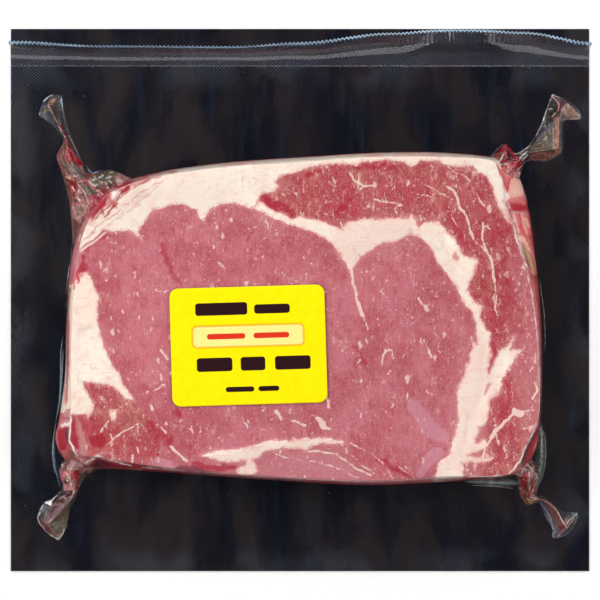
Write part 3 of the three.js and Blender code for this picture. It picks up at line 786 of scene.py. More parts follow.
        ("crimson", 0.6, 0.3, [(-70, 33.8), (-60, 41.2), (-54, 44.4)]),
        ("red", 0.8, 0.75, [(-62, 45.6), (-52, 48.1), (-28, 51.5), (0, 53.4), (28, 55.1), (52, 55.2),
            (71, 53.5)]),
        ("red", 0.6, 0.5, [(-87.6, -14), (-87, -4), (-85.6, 13), (-83.2, 24), (-79, 33.6), (-73, 40.6),
            (-66, 44.3)]),
        ("red", 0.75, 0.6, [(-60, -64), (-46, -64.6), (-12, -67), (24, -69), (54, -67.8), (74, -66.2)]),
        ("white", 0.5, 0.3, [(-58, -61.4), (-46, -62.2), (-12, -65), (24, -66.7), (54, -65.1), (74, -64)]),
        ("white", 0.85, 0.3, [(-83.5, -39.7), (-84, -51.9), (-82.4, -54.9), (-80.1, -59.4)]),
    ],
    "hazeAndSheen": [  # where the film has lifted off the meat: a pale haze, partly a painted reflection
        [(39, -36.1), (42.7, -36.6), (46.3, -40.3), (48.8, -43.9), (54.2, -48.8), (53.9, -51.8),
            (48.8, -51.2), (45.1, -48.8), (43.6, -46.3), (41.5, -42.7), (39, -39.7)],
        [(42.1, -64), (45.2, -57.3), (48.8, -53.7), (51.8, -53.7), (53, -56.1), (48.8, -59.7), (44, -65.2)],
        [(-55.8, -59.8), (-52.5, -57.3), (-47.3, -58.4), (-44, -62), (-49.2, -62.8)],
        [(-62, 47), (-54, 46.5), (-48, 47.5), (-55, 49.5), (-64, 49.5)],
        [(-85, 22), (-81, 24), (-79.5, 14), (-83, 9)],
    ],
}


def buildMeat(finish):
    rings, sink = meat["wallRings"], meat["sink"]
    bm, rim = ringedSheet(meat["cells"], rings)
    bmesh.ops.edgeloop_fill(bm, edges=rim)
    obj = newObject("steakMeat", bm, finish)
    u, v, ring = vertices(obj.data).T
    ring = -ring
    x, y, z, angle = facePlace(u, v, sink)
    wall = ring > 0.5
    down = ring[wall] / rings
    x[wall], y[wall], z[wall], ways = wallPlace(angle[wall], z[wall], 1 - down, sink)
    z[wall] += meat["footLift"] * down
    form = np.stack([x, y, z], 1)
    (driftX, driftY), (frayX, frayY) = (
        [noiseOf(form, wide, seed) for seed in seeds] for wide, seeds in (meat["drift"], meat["fray"])
    )

    def near(border, more=0.0):  # where each vertex looks a border up
        drift, fray = meat["wander"][border]
        return x + (drift + more) * driftX + fray * frayX, y + (drift + more) * driftY + fray * frayY

    fat = insideAny(near("fat", meat["wallWander"] * wall), meat["fat"].values())
    atThread, atMuscle, atPaint = near("thread"), near("muscle"), near("paint")
    thread = np.max([width / 2 - pathDistance(*atThread, path) for width, path in meat["threads"]], 0)
    pools = [strength * bell(pathDistance(*atMuscle, path), wide) for path, wide, strength in meat["blood"]]

    tint, cover = np.tile(tones["salmon"], (len(form), 1)), np.zeros(len(form))
    amount, swaySize, seed = meat["sway"]
    sway = amount * noiseOf(form * (1, 1, 0.8), swaySize, seed)[wall]
    atSway = atPaint[0][wall] - ways[:, 1] * sway, atPaint[1][wall] + ways[:, 0] * sway
    tint[wall], cover[wall] = paintOver(atSway, tint[wall], cover[wall], meat["wallPatches"], [])
    tint, cover = paintOver(atPaint, tint, cover, meat["patches"], meat["lines"])

    fromEdge = around(angle, topReach) - np.hypot(x - steakX, y - steakY)
    relief = meat["fatRise"] * smooth(fat, -0.5, 0.9)
    relief += sum(height * noiseOf(form, wide, seed) for height, wide, seed in meat["lumps"])
    form[:, 2] += np.where(wall, 0, relief)
    moveTo(obj.data, form)
    addTint(obj.data, tint, cover)
    maps = {
        "fat": np.clip(fat, -8, 8),
        "thread": np.clip(thread, -4, 4),
        "cap": smooth(insideAny(atMuscle, meat["cap"]), -0.6, 0.6),
        "pale": coverOf(atMuscle, meat["pale"]),
        "dark": coverOf(atMuscle, meat["dark"]),
        "hazeAndSheen": smooth(insideAny((x, y), meat["hazeAndSheen"]), -0.3, 0.3),
        "blood": np.max(pools, 0),
        "edgeGap": np.clip(np.where(wall, meat["ringGap"] * ring, fromEdge), 0, 5),
        "wall": np.where(wall, ring / rings, 0),
    }
    for name, values in maps.items():
        addValues(obj.data, name, values)
    return ride(obj, "meat", "steak")


def fleckMask(tree, here, capHere):  # slivers, crumbs and dots of fat between the seams
    bendSize, bend = meat["fleckBend"]
    wander = put(tree, "TexNoise", {"Vector": here, "Scale": 1 / (bendSize * mm), "Detail": 2.0}).outputs
    shift = vectorMath(tree, "SUBTRACT", {0: wander["Color"], 1: (0.5, 0.5, 0.5)})[0]
    shift = vectorMath(tree, "SCALE", {0: shift, "Scale": bend * mm})[0]
    bent = vectorMath(tree, "ADD", {0: here, 1: shift})[0]
    slivers = scattered(tree, drawnOut(tree, bent, 0.5, 0.42), 2.3, 0.26, 0.4)
    crumbs = scattered(tree, drawnOut(tree, bent, -0.8, 0.5), 4.2, 0.2, 0.5)
    dots = times(tree, scattered(tree, bent, 1.5, 0.34, 0.3), 0.6)
    strands = step(tree, spots(tree, drawnOut(tree, bent, -0.9, 0.3), 1.5, 3, 0.6, 1.0), 0.6, 0.68)
    contour = spots(tree, drawnOut(tree, bent, -0.7, 0.6), 5.5, 3, 0.6, 1.0)
    wire = step(tree, absolute(tree, minus(tree, contour, 0.5)), 0.014, 0.004)
    wire = times(tree, wire, step(tree, spots(tree, here, 5, 1), 0.5, 0.64))
    wire = times(tree, wire, scaled(tree, capHere, 0.3, 0.45))
    return times(tree, largest(tree, slivers, crumbs, times(tree, strands, capHere), dots), 0.8), wire


def meatFinish():
    made, tree, shader = finishNamed("rawBeef")
    here, colours = place(tree), mixed(meat["colours"])
    fine, mid, broad = spots(tree, here, 0.8, 3, 0.6), spots(tree, here, 2.6), spots(tree, here, 14)
    capHere, paleHere = value(tree, "cap"), value(tree, "pale")
    nibbled = scaled(tree, spots(tree, here, 0.42), 0.7, -1.35)
    ragged = scaled(tree, fine, 1.1, scaled(tree, mid, 0.9, nibbled))
    ragged = times(tree, ragged, scaled(tree, capHere, 0.9, 0.9))
    fatEdge = plus(tree, value(tree, "fat"), ragged)
    fatHere = step(tree, fatEdge, -0.12, 0.2)
    threadEdge = scaled(tree, fine, 0.9, scaled(tree, mid, 0.7, -0.86))
    threadHere = step(tree, plus(tree, threadEdge, value(tree, "thread")), -0.16, 0.12)
    mottle = scaled(tree, mid, 1.3, times(tree, fine, 0.7))
    bloodHere = step(tree, times(tree, value(tree, "blood"), mottle), 0.2, 0.95)

    # the lean: a finely grained eye, and darker muscles whose strands lie in the cut
    grain = cells(tree, stretched(tree, here, scale=(1, 0.8, 0.5)), 0.75)[0]
    speckle = spots(tree, here, 0.42, 2, 0.75)
    strands = spots(tree, drawnOut(tree, here, -0.95, 0.2), 0.9, 2, 0.6, 0.4)
    combed = spots(tree, drawnOut(tree, here, 0.12, 0.14), 0.7, 2, 0.6, 0.3)
    flush = spots(tree, drawnOut(tree, here, 0.5, 0.55), 4.6, 3, 0.65, 0.8)
    flushed = scaled(tree, capHere, 0.35, 0.3)
    flecks, wire = fleckMask(tree, here, capHere)
    besideFat = times(tree, step(tree, fatEdge, -1.3, -0.2), step(tree, mid, 0.62, 0.4, 0, 0.5))
    eye = [
        (step(tree, broad, 0.35, 0.65), "eyeDeep"),
        (step(tree, mid, 0.45, 0.7, 0, 0.5), "eyeDusk"),
        (step(tree, combed, 0.5, 0.68, 0, 0.4), "eyeStrand"),
        (step(tree, combed, 0.45, 0.3, 0, 0.3), "eyeGlow"),
        (step(tree, broad, 0.5, 0.36, 0, 0.35), "eyePale"),
    ]
    cap = [
        (step(tree, broad, 0.4, 0.62), "capWarm"),
        (step(tree, mid, 0.42, 0.66, 0, 0.65), "capDusk"),
        (step(tree, strands, 0.5, 0.66, 0, 0.55), "capStrand"),
        (step(tree, strands, 0.44, 0.28, 0, 0.4), "capGlow"),
    ]
    lean = [
        (times(tree, step(tree, flush, 0.5, 0.68), flushed), "flush"),
        (times(tree, step(tree, flush, 0.46, 0.3), flushed), "flushPale"),
        (paleHere, "palePart"),
        (step(tree, grain, 0.1, 0.55, 0.35, 0.0), "grain"),
        (step(tree, speckle, 0.5, 0.72, 0, 0.6), "pit"),
        (step(tree, speckle, 0.44, 0.28, 0, 0.4), "fibre"),
        (flecks, "fleck"),
        (wire, "wire"),
        (besideFat, "besideFat"),
        (times(tree, bloodHere, 0.8), "blood"),
    ]

    # fat, pink near the lean and veined
    vein = spots(tree, stretched(tree, here, (0, 0, -0.6), (0.35, 1, 1)), 5, 2, 0.5, 0.8)
    rimPink = times(tree, step(tree, fatEdge, 1.3, 0.0), step(tree, mid, 0.4, 0.62))
    nick = times(tree, step(tree, fatEdge, 1.7, 0.2), step(tree, fine, 0.54, 0.66))
    fat = [
        (step(tree, broad, 0.35, 0.65), "fatShade"),
        (paleHere, "fatPale"),
        (step(tree, fine, 0.5, 0.75, 0, 0.28), "fatGrain"),
        (step(tree, spots(tree, here, 4, 3, 0.6, 0.8), 0.5, 0.7, 0, 0.4), "fatBlush"),
        (step(tree, absolute(tree, minus(tree, vein, 0.5)), 0.02, 0.0, 0, 0.4), "vein"),
        (times(tree, rimPink, 0.75), "fatRim"),
        (times(tree, nick, 0.7), "nick"),
        (times(tree, bloodHere, 0.6), "fatBlood"),
    ]

    def over(lowest, layers):
        return layered(tree, lowest, [(share, colours[name]) for share, name in layers])

    colour = blend(tree, capHere, over(colours["eye"], eye), over(colours["cap"], cap))
    colour = blend(tree, fatHere, over(colour, lean), over(colours["fat"], fat))

    # the film's effect, what is seen through it on the walls and along the edge, and a painted highlight on
    # the film along the face's edge
    wallHere = step(tree, value(tree, "wall"), 0.0, 0.12)
    warm = blend(tree, fatHere, colours["wallLean"], colours["wallFat"])
    streaky = scaled(tree, fine, 0.8, scaled(tree, mid, 0.8, 0.1), clamp=True)
    washed = step(tree, times(tree, value(tree, "cover"), streaky), 0.0, 0.8)
    # a painted highlight along the face's edge, broken up by noise
    byEdge = step(tree, value(tree, "edgeGap"), 0.55, 0.12)
    edgeHighlight = times(tree, byEdge, step(tree, broad, 0.4, 0.52, 0.15, 0.7))
    seen = [
        (times(tree, threadHere, 0.9), colours["thread"]),
        (times(tree, value(tree, "hazeAndSheen"), 0.5), colours["hazeAndSheen"]),
        (times(tree, value(tree, "dark"), 0.9), colours["pocket"]),
        (times(tree, wallHere, 0.3), warm),
        (washed, value(tree, "tint", "Color")),
        (edgeHighlight, colours["crease"]),
    ]
    # painted shade on the face and painted light on the walls
    depth = blend(tree, wallHere, meat["depth"], meat["wallPaintedLight"])
    colour = blend(tree, 1.0, layered(tree, colour, seen), depth, "MULTIPLY")
    colour.node.clamp_result = True

    lumps = scaled(tree, fatHere, 0.5, times(tree, mid, 0.5))
    weight, radius, scale = meat["subsurface"]
    plug(tree, shader, {
        "Base Color": colour,
        "Roughness": step(tree, mid, 0.3, 0.7, 0.34, 0.5),
        "Normal": bumped(tree, scaled(tree, grain, -0.35, lumps), 0.35, 0.25),
        "Specular IOR Level": 0.35,
        "Subsurface Weight": weight,
        "Subsurface Radius": radius,
        "Subsurface Scale": scale * mm,
    })
    return made


buildMeat(meatFinish())
print("meat made")


film = {
    "cells": (150, 104),
    "wallRings": 8,
    "filletRings": 5,
    "borders": (0.008, 0.02, 0.12, 0.35, 0.65, 0.99, 1.0),  # rings from the foot to the flat film's edge
    "fillet": 0.4,  # how far from the steak the film reaches the backing
    "filletWaves": [(0.35, 3, 1), (0.25, 11, 0)],  # share, waves round the steak, start
    "bend": 0.16,  # the share of a wall's height below which the film leaves it
    "level": 0.46,  # the flat film's upper side
    "thickness": 0.1,
    # the wet meat behind the film takes away most of its shine, above all on the walls
    "finishes": {"tightFilm": (1.13, 0.25), "wallFilm": (1.045, 0.05)},  # index and relief
    "roughness": 0.035,
    "ribs": {"pitch": 0.9, "turns": (0.785, -0.785), "band": (2, 11)},  # full and gone, from an edge
}


# Ribs pressed crosswise into the pack near its edges: 1 on a rib.
def ribGroup():
    tree, start, end = newGroup("pressedRibs", [("Vector", "Vector"), ("Pitch", "Float")], ["Rib"])
    vector, (full, gone) = start["Vector"], film["ribs"]["band"]
    rate = calc(tree, "DIVIDE", math.pi / 10 / mm, start["Pitch"])  # a wave texture's scale for this pitch
    along, across = (
        put(tree, "TexWave", {"Vector": drawnOut(tree, vector, turn, 1), "Scale": rate}).outputs[1]
        for turn in film["ribs"]["turns"]
    )
    x, y, _ = put(tree, "SeparateXYZ", {0: vector}).outputs
    side = minus(tree, pack["width"] / 2 * mm, absolute(tree, x))
    front = plus(tree, pack["length"] / 2 * mm, y)
    back = absolute(tree, minus(tree, sealLine * mm, y))
    gap = calc(tree, "MINIMUM", calc(tree, "MINIMUM", side, front), back)
    patchy = step(tree, spots(tree, vector, 24, 1), 0.44, 0.58)
    region = times(tree, step(tree, gap, gone * mm, full * mm), patchy)
    rib = times(tree, along, scaled(tree, across, 0.7, 0.3))
    plug(tree, end, {"Rib": times(tree, rib, region)})
    return tree


# Dust on the film, and the streaks left by wiping it.
def dustGroup():
    tree, start, end = newGroup("filmDust", [("Vector", "Vector")], ["Speck", "Streak"])
    coarse = scattered(tree, start["Vector"], 4.5, 0.06, 0.5)
    fine = times(tree, scattered(tree, start["Vector"], 1.7, 0.1, 0.12), 0.6)
    streak = spots(tree, drawnOut(tree, start["Vector"], 0.06, 0.1), 3.2, 3, 0.6)
    plug(tree, end, {"Speck": largest(tree, coarse, fine), "Streak": streak})
    return tree


ribs, dust = ribGroup(), dustGroup()


def ribHere(tree, here):
    return useGroup(tree, ribs, {"Vector": here, "Pitch": film["ribs"]["pitch"]})["Rib"]


def filmFinish(name, index, relief):
    made, tree, shader = finishNamed(name)
    here = place(tree)
    drawn, ripple = spots(tree, drawnOut(tree, here, 0, 0.6), 11), spots(tree, here, 1.6)
    height = scaled(tree, ribHere(tree, here), 0.05, scaled(tree, ripple, 0.06, drawn))
    plug(tree, shader, {
        "Base Color": (1, 1, 1, 1),
        "Normal": bumped(tree, height, relief, 0.5),
        "Transmission Weight": 1.0,
        "Roughness": film["roughness"],
        "IOR": index,
    })
    return made


def buildFilm(*finishes):
    walls, fillets, borders, bend = (film[key] for key in ("wallRings", "filletRings", "borders", "bend"))
    bm, _ = ringedSheet(film["cells"], walls + fillets + len(borders))
    obj = newObject("clearFilmSheet", bm, *finishes)
    u, v, ring = vertices(obj.data).T
    ring = np.round(-ring)
    x, y, z, angle = facePlace(u, v, 0)
    rounded = around(angle, topReach) - np.hypot(x - steakX, y - steakY) < steak["edgeRadius"]
    wall = ring > 0.5
    u, v, angle, ring = u[wall], v[wall], angle[wall], ring[wall]
    share = np.where(ring <= walls, 1 - (1 - bend) * ring / walls, bend * (1 - (ring - walls) / fillets))
    share = np.clip(share, 0, 1)
    wx, wy, wz, ways = wallPlace(angle, z[wall], share, 0)

    # the fillet at the foot, then the flat film out to its edge
    t = np.clip(share / bend, 0, 1)
    waves = sum(wave * np.sin(angle * turns + start) for wave, turns, start in film["filletWaves"])
    wide = film["fillet"] * (1 + waves)
    wx, wy = wx + ways[:, 0] * wide * (1 - t) ** 2, wy + ways[:, 1] * wide * (1 - t) ** 2
    wz = np.where(share < bend, film["level"] + (wz - film["level"]) * t, wz)
    flat = np.interp(ring - walls - fillets, range(len(borders) + 1), (0,) + borders)
    half = (sealLine + pack["length"] / 2) / 2
    edgeX, edgeY = u * pack["width"] / 2, sealLine - half + v * half
    x[wall], y[wall] = wx + (edgeX - wx) * flat, wy + (edgeY - wy) * flat
    z[wall] = np.where(flat > 0, film["level"], wz)
    moveTo(obj.data, np.stack([x, y, z], 1))
    corners = loopVertices(obj.data).reshape(-1, 4)
    steep = (rounded & (z > film["level"] + 0.01))[corners].all(1)
    obj.data.polygons.foreach_set("material_index", steep.astype(np.int32))
    return rideFilm(obj, film["thickness"], "clear_film", "steak")


buildFilm(*[filmFinish(name, *look) for name, look in film["finishes"].items()])


flap = {
    "cells": (576, 16),
    "tooth": 0.75,
    "toothCells": 4,  # columns for each tooth
    "toothRun": (0.62, 0.75),  # where up the flap the teeth begin and are full
    "flutter": (0.25, 5.3, 17),  # height and two lengths of its waves
    "cover": 0.2,
    "rimHighlightCover": 0.95,
    "curl": [  # x and how far it curls there, in radians
        (-108, 1.6), (-72, 1.94), (-24, 1.99), (0, 1.7), (35, 0.95), (60, 0.15), (82, 0.85), (108, 1.7),
    ],
    "colours": {"streak": (92, 96, 108), "dust": (170, 172, 176)},
}


def buildFlap(finish):
    obj, u, v = newSheet("peelFlap", flap["cells"], finish)
    column, run = np.round((u + 1) / 2 * flap["cells"][0]), (v + 1) / 2
    x, half = u * pack["width"] / 2, flap["toothCells"] / 2
    curl = eased(flap["curl"], x)
    radius = pack["flap"] / curl
    teeth = flap["tooth"] * abs(column % (2 * half) - half) / half * smooth(run, *flap["toothRun"])
    height, waveSize, swellSize = flap["flutter"]
    y = sealLine + radius * np.sin(curl * run) - teeth
    z = film["level"] + radius * (1 - np.cos(curl * run))
    z = z + height * run * np.sin(x / waveSize + 2 * np.sin(x / swellSize))
    form = np.stack([x, y, z], 1)
    moveTo(obj.data, form)
    # a painted highlight along the free edge, and a slate tint with darker patches that stands partly for
    # the film's grey sheen
    rim = smooth(sealLine + radius * np.sin(np.minimum(curl, math.pi / 2)) - y - teeth, 0.5, 0.3)
    patchy = smooth(noiseOf(form * (0.25, 1, 1), 7, 71), -0.1, 0.5) * smooth(run, 0.15, 0.5)
    tint = toned(toned(tones["slate"], "soot", 0.8 * patchy), "frost", rim)
    addTint(obj.data, tint, flap["cover"] + (flap["rimHighlightCover"] - flap["cover"]) * rim)
    return rideFilm(obj, film["thickness"], "clear_film")


def peelFinish():
    made, tree, shader = finishNamed("peelFilm")
    here, colours = place(tree), mixed(flap["colours"])
    specks = useGroup(tree, dust, {"Vector": here})
    along = spots(tree, stretched(tree, here, scale=(0.12, 1, 1)), 2.4)
    # paler streaks along the flap: a painted sheen
    colour = layered(tree, value(tree, "tint", "Color"), [
        (step(tree, along, 0.5, 0.68, 0, 0.35), colours["streak"]),
        (times(tree, specks["Speck"], 0.7), colours["dust"]),
    ])
    plug(tree, shader, {
        "Base Color": colour,
        "Alpha": scaled(tree, specks["Speck"], 0.4, value(tree, "cover"), clamp=True),
        "Roughness": step(tree, specks["Streak"], 0.3, 0.7, 0.05, 0.14),
        "Normal": bumped(tree, along, 0.08, 0.3),
        "Specular IOR Level": 1.0,
        "Coat Weight": 1.0,
        "Coat IOR": 1.7,
    })
    return made


buildFlap(peelFinish())


folds = {  # a gathered fold of film at each corner of the steak
    "cells": (214, 118),
    "rowSteps": 24,
    "thickness": 0.12,
    "level": 0.5,
    "hemHighlight": 0.35,  # a painted highlight along the film's feet: how strong it is
    "fullness": [(0, 0.75), (0.35, 1), (1, 1.35)],  # along the fold: 1 is a straight flank
    "crumple": [(0, 0.9), (0.3, 0.75), (0.42, 0.4), (0.5, 0.12), (1, 0.06)],
    "facets": [(3.4, 1.6), (1.5, 0.6)],  # size and depth
    "facetLevel": 0.7,
    "facetDrift": (5, (3, 9, 21)),  # size and seeds of the noise that bends them
    "tip": 0.84,  # where along the fold its rim begins to be one round line
    "rootFade": (0.04, -0.1),  # from the neck
    "wander": (0.22, 1.6, (12, 25)),  # amount, size and seeds for the painted borders
    "flicker": (0.9, 0.35, 1.1, 61),  # a line's mean strength, how it varies, size and seed
    "colours": {
        "shade": (29, 18, 22), "light": (226, 196, 186), "pit": (40, 16, 18), "ridgeHighlight": (214, 190, 178),
        "dust": (220, 214, 208),
    },
    # each row, from the steak to the tip: one foot, the ridge with its height, the other foot
    "backLeft": {
        "rows": [
            (-84.8, 20.4, -73.6, 34.4, 18.6, -62.2, 45.1), (-86.1, 36.2, -78.2, 41.1, 15.5, -71, 48.6),
            (-88.9, 47.4, -83, 48.3, 12, -79.2, 46.7), (-90.8, 53.8, -85.6, 54.3, 9.8, -81.4, 51.9),
            (-88.3, 59.6, -86.7, 59.5, 8, -84.8, 59.2), (-90.5, 63.2, -88.4, 62.6, 7.3, -86.3, 63.1),
            (-93.4, 66.1, -90.5, 66.6, 6.5, -87.6, 67.2), (-96.9, 68.5, -92.7, 71.3, 5.8, -88.5, 72.1),
            (-97.3, 68.9, -93.7, 73, 5.3, -88.9, 75.8), (-97.5, 69.2, -94.8, 75.6, 0.5, -89.2, 76.3),
        ],
        "neck": 0.44,
        "flanks": ("steel", "smoke"),
        "root": "brown",
        "patches": [
            ("smoke", 0.5, 0.6, [(-91, 74), (-89, 76), (-88.4, 69.5), (-86.5, 62.7), (-81.9, 53.4),
                (-83.7, 55.8), (-86.7, 61.2), (-89.6, 67.7)]),
            ("steel", 0.8, 0.4, [(-96.4, 68.9), (-94.4, 69.2), (-89.5, 63.4), (-88.3, 60.4),
                (-91.2, 63.3)]),
            ("olive", 0.8, 0.4, [(-97, 69.5), (-95.3, 72.5), (-93.4, 71), (-94.1, 69.6)]),
            ("tan", 0.85, 0.5, [(-93.7, 73.9), (-92.6, 75.3), (-90.5, 75.5), (-91.3, 73.7), (-92.2, 72.3),
                (-93.3, 71.7)]),
            ("brown", 0.85, 0.5, [(-87, 58.7), (-90.2, 55.6), (-89.8, 52.4), (-86, 46.3), (-79.6, 43.8),
                (-78.8, 46.6), (-79.1, 49.1), (-81.3, 51.6), (-84.1, 55.1), (-86, 58.6)]),
            ("olive", 0.8, 0.5, [(-89.6, 53.9), (-87.9, 52.2), (-85.6, 48.1), (-84.2, 45.9),
                (-86.4, 47.3), (-88.7, 50.8)]),
            ("crimson", 0.95, 0.5, [(-88, 55), (-86, 56.6), (-84.4, 54.3), (-81.3, 51.6), (-79.1, 49.1),
                (-81.5, 49.5), (-84.6, 51), (-87.6, 52.2)]),
            ("grey", 0.85, 0.5, [(-85.5, 50.5), (-83.4, 50.4), (-81.4, 48.8), (-79.1, 44.8), (-82, 44.8),
                (-84.8, 47.4)]),
            ("smoke", 0.7, 0.4, [(-84.6, 55.6), (-83.7, 55.8), (-81.6, 52.5), (-82.9, 52.9)]),
            ("brown", 0.85, 0.5, [(-84.9, 44.4), (-82.1, 43.3), (-77.8, 35.3), (-81, 36.3), (-85.9, 35.4),
                (-85.9, 40)]),
            ("crimson", 0.9, 0.5, [(-85.2, 45.3), (-82.9, 42.7), (-81, 37.2), (-83.5, 37.3),
                (-85.1, 41.4)]),
            ("olive", 0.85, 0.5, [(-81.1, 42.9), (-72.7, 40.1), (-72.8, 38.1), (-77, 37.6), (-79.5, 40.4)]),
            ("mauve", 0.9, 0.6, [(-85.9, 35.4), (-81, 36.3), (-77.1, 35), (-78.4, 32), (-81.6, 29.8),
                (-86.2, 30.2)]),
            ("tan", 0.85, 0.6, [(-82.7, 34.3), (-78.5, 34.4), (-80.1, 31.5), (-82.9, 31)]),
            ("olive", 0.9, 0.5, [(-78.2, 44.8), (-76.2, 47.2), (-70.7, 49.1), (-66.4, 48.3),
                (-68.9, 44.4), (-71.7, 41.1), (-75.8, 41.6)]),
            ("mauve", 0.9, 0.8, [(-68.5, 45.7), (-66.4, 48.1), (-62.4, 47.5), (-62.3, 45), (-67.6, 41.8)]),
            ("crimson", 0.97, 0.6, [(-79.4, 37.2), (-73.3, 39.8), (-69.9, 41.4), (-62.1, 43),
                (-62.1, 41.4), (-68.4, 39.2), (-71.8, 36.6), (-76.6, 32.6), (-78.4, 29.9), (-80.2, 30.1),
                (-77.8, 35)]),
            ("mauve", 0.9, 0.5, [(-69.7, 39.8), (-66.8, 41.1), (-65.7, 40), (-69.4, 36.9), (-71.2, 36)]),
        ],
        "lines": [
            ("salmon", 0.95, 0.26, [(-86.8, 59.4), (-90.6, 55.9), (-90.2, 52.8), (-88.6, 49), (-85.9, 46),
                (-82.1, 43.6), (-79.6, 43.8)]),
            ("copper", 0.95, 0.33, [(-93.5, 72.8), (-91.6, 68.5), (-89.6, 65), (-87.4, 61), (-86.5, 59.2)]),
            ("white", 0.95, 0.2, [(-89.7, 64.5), (-87.1, 60.1)]),
            ("red", 0.95, 0.23, [(-89.2, 65.5), (-86.6, 60.1), (-83.8, 53.7), (-81.8, 51.5),
                (-79.1, 49.1)]),
            ("pale", 0.9, 0.21, [(-86.1, 61.4), (-84.9, 58.9), (-81.9, 53.1)]),
            ("steel", 0.9, 0.18, [(-88.9, 75.7), (-88.2, 69.2), (-86.2, 62)]),
            ("white", 1, 0.31, [(-95.8, 74.3), (-94.1, 75.8), (-92.3, 76.8)]),
            ("black", 0.95, 0.33, [(-95.3, 73.1), (-93.6, 74.6), (-91.6, 75.8)]),
            ("red", 0.95, 0.24, [(-85.1, 42), (-86.3, 38.5), (-86.5, 33.9), (-86.5, 30.2)]),
            ("salmon", 0.95, 0.38, [(-79.7, 44.5), (-76.4, 41.6), (-72.2, 38.8)]),
            ("cream", 0.95, 0.24, [(-82.5, 43.3), (-79.5, 39.8), (-77.5, 35.3)]),
            ("salmon", 0.9, 0.24, [(-85.9, 34.8), (-82.4, 36.4), (-79.7, 36.6)]),
            ("salmon", 0.9, 0.24, [(-78.2, 44.8), (-76.2, 47.2), (-73.2, 48.8)]),
            ("red", 0.95, 0.29, [(-73.2, 48.8), (-70.1, 49.1), (-66.4, 48.5), (-62.4, 47.7)]),
            ("red", 0.95, 0.29, [(-73.6, 40.1), (-72.4, 43.6)]),
            ("white", 1, 0.26, [(-77.8, 43.6), (-75.9, 42.1)]),
            ("white", 1, 0.24, [(-76.4, 44), (-75.6, 44.7)]),
            ("white", 1, 0.38, [(-74.3, 45.4), (-73.4, 46)]),
            ("white", 1, 0.38, [(-71.7, 45.2), (-70.5, 45.7)]),
            ("white", 1, 0.24, [(-75.4, 42), (-74.8, 42.7)]),
            ("white", 0.9, 0.18, [(-70.8, 47.4), (-69.9, 47.8)]),
            ("gold", 1, 0.24, [(-87.5, 45.8), (-85.2, 45)]),
            ("white", 0.9, 0.18, [(-83.9, 45.9), (-82.7, 45.7)]),
            ("white", 0.9, 0.17, [(-84.7, 42), (-83.4, 40.1)]),
        ],
    },
    "backRight": {
        "rows": [
            (68.9, 51.8, 72.1, 44.3, 18.4, 80.1, 34.6), (76.6, 58.3, 76.4, 51, 16, 82.5, 47.1),
            (80.5, 54.8, 81, 52.9, 9.8, 83.7, 51), (84.6, 57, 84.8, 54.6, 8, 86.3, 52.1),
            (87.4, 60.5, 90.4, 55.4, 7.7, 91.9, 51.9), (89.6, 64.6, 95.4, 56.5, 7.3, 97.5, 54.9),
            (90.9, 68, 96, 62.7, 6.9, 97.9, 62.4), (92.1, 71.3, 96.2, 68.6, 6.4, 98.6, 66.9),
            (93.2, 74.3, 97.7, 71.7, 5.8, 101.6, 67.3), (94.1, 76.6, 99.1, 73, 5.2, 104.7, 67.5),
            (94.3, 76.9, 102.3, 73, 0.5, 104.9, 67.8),
        ],
        "neck": 0.3,
        "flanks": ("smoke", "smoke"),
        "root": "maroon",
        "patches": [
            ("black", 0.75, 0.3, [(84.9, 57.1), (89.3, 63.6), (91.1, 67.3), (92.4, 72.3), (94.2, 76.6),
                (96.4, 73), (95, 68.3), (92.2, 64.7), (85, 56.4)]),
            ("olive", 0.75, 0.5, [(84.7, 55.2), (87.3, 58.6), (95, 67.3), (94.4, 55.5), (85.5, 54.5)]),
            ("steel", 0.55, 0.5, [(84.8, 55.6), (90.4, 62), (92.5, 65), (95.8, 67.9), (95, 66.1),
                (92.7, 63.8), (87.2, 57.6)]),
            ("brown", 0.85, 0.4, [(84.5, 54.5), (94.3, 55.3), (95.8, 54.5), (91.7, 52.4), (86.7, 52.4)]),
            ("copper", 0.85, 0.25, [(94.6, 67.7), (96.3, 67.9), (96.7, 55.1), (95.2, 54.2), (94.5, 55.5)]),
            ("maroon", 0.85, 0.4, [(94.5, 76), (96.5, 74.9), (99.4, 73.2), (96.7, 70.3), (95.8, 69.1),
                (96.1, 73)]),
            ("tan", 0.7, 0.5, [(99.7, 72.6), (104.1, 69.8), (104.4, 68.3), (98.4, 68.4), (96.8, 69.1)]),
            ("grey", 0.6, 0.4, [(96.9, 68.3), (104.4, 68.3), (105.2, 67.2), (101.7, 66.7), (96.6, 66.6)]),
            ("crimson", 0.97, 0.5, [(77.2, 58.7), (72.7, 52.7), (72.6, 50.3), (73.4, 48.2), (76.4, 39.7),
                (79.1, 47.9), (82.5, 51), (79.7, 54.5)]),
            ("olive", 0.9, 0.3, [(72.7, 52.5), (74.5, 55.5), (75.2, 54.7), (74.4, 51.8), (72.9, 50.6)]),
            ("maroon", 0.95, 0.3, [(76.4, 56.2), (77.6, 55.5), (79, 51.5), (76.5, 50.7), (75.5, 52.4)]),
            ("salmon", 0.9, 0.4, [(73.7, 48.2), (75.5, 49.1), (78.8, 48.2), (76.6, 41.8)]),
            ("red", 0.95, 0.3, [(74.1, 49.5), (79.1, 50.7), (81.8, 50.7), (79.1, 47.9), (75.6, 47.9)]),
            ("mauve", 0.9, 0.5, [(79.1, 47.3), (80.8, 47.9), (82.4, 47.5), (84.9, 38.5), (77.5, 38.5)]),
            ("black", 0.9, 0.3, [(80.1, 54), (83.9, 55.8), (84.3, 53.9), (83.5, 52.1), (81.1, 52)]),
        ],
        "lines": [
            ("red", 0.95, 0.24, [(72.6, 52.4), (74.5, 55.5), (77, 58.5), (79, 55.8), (80.4, 52),
                (82.5, 51)]),
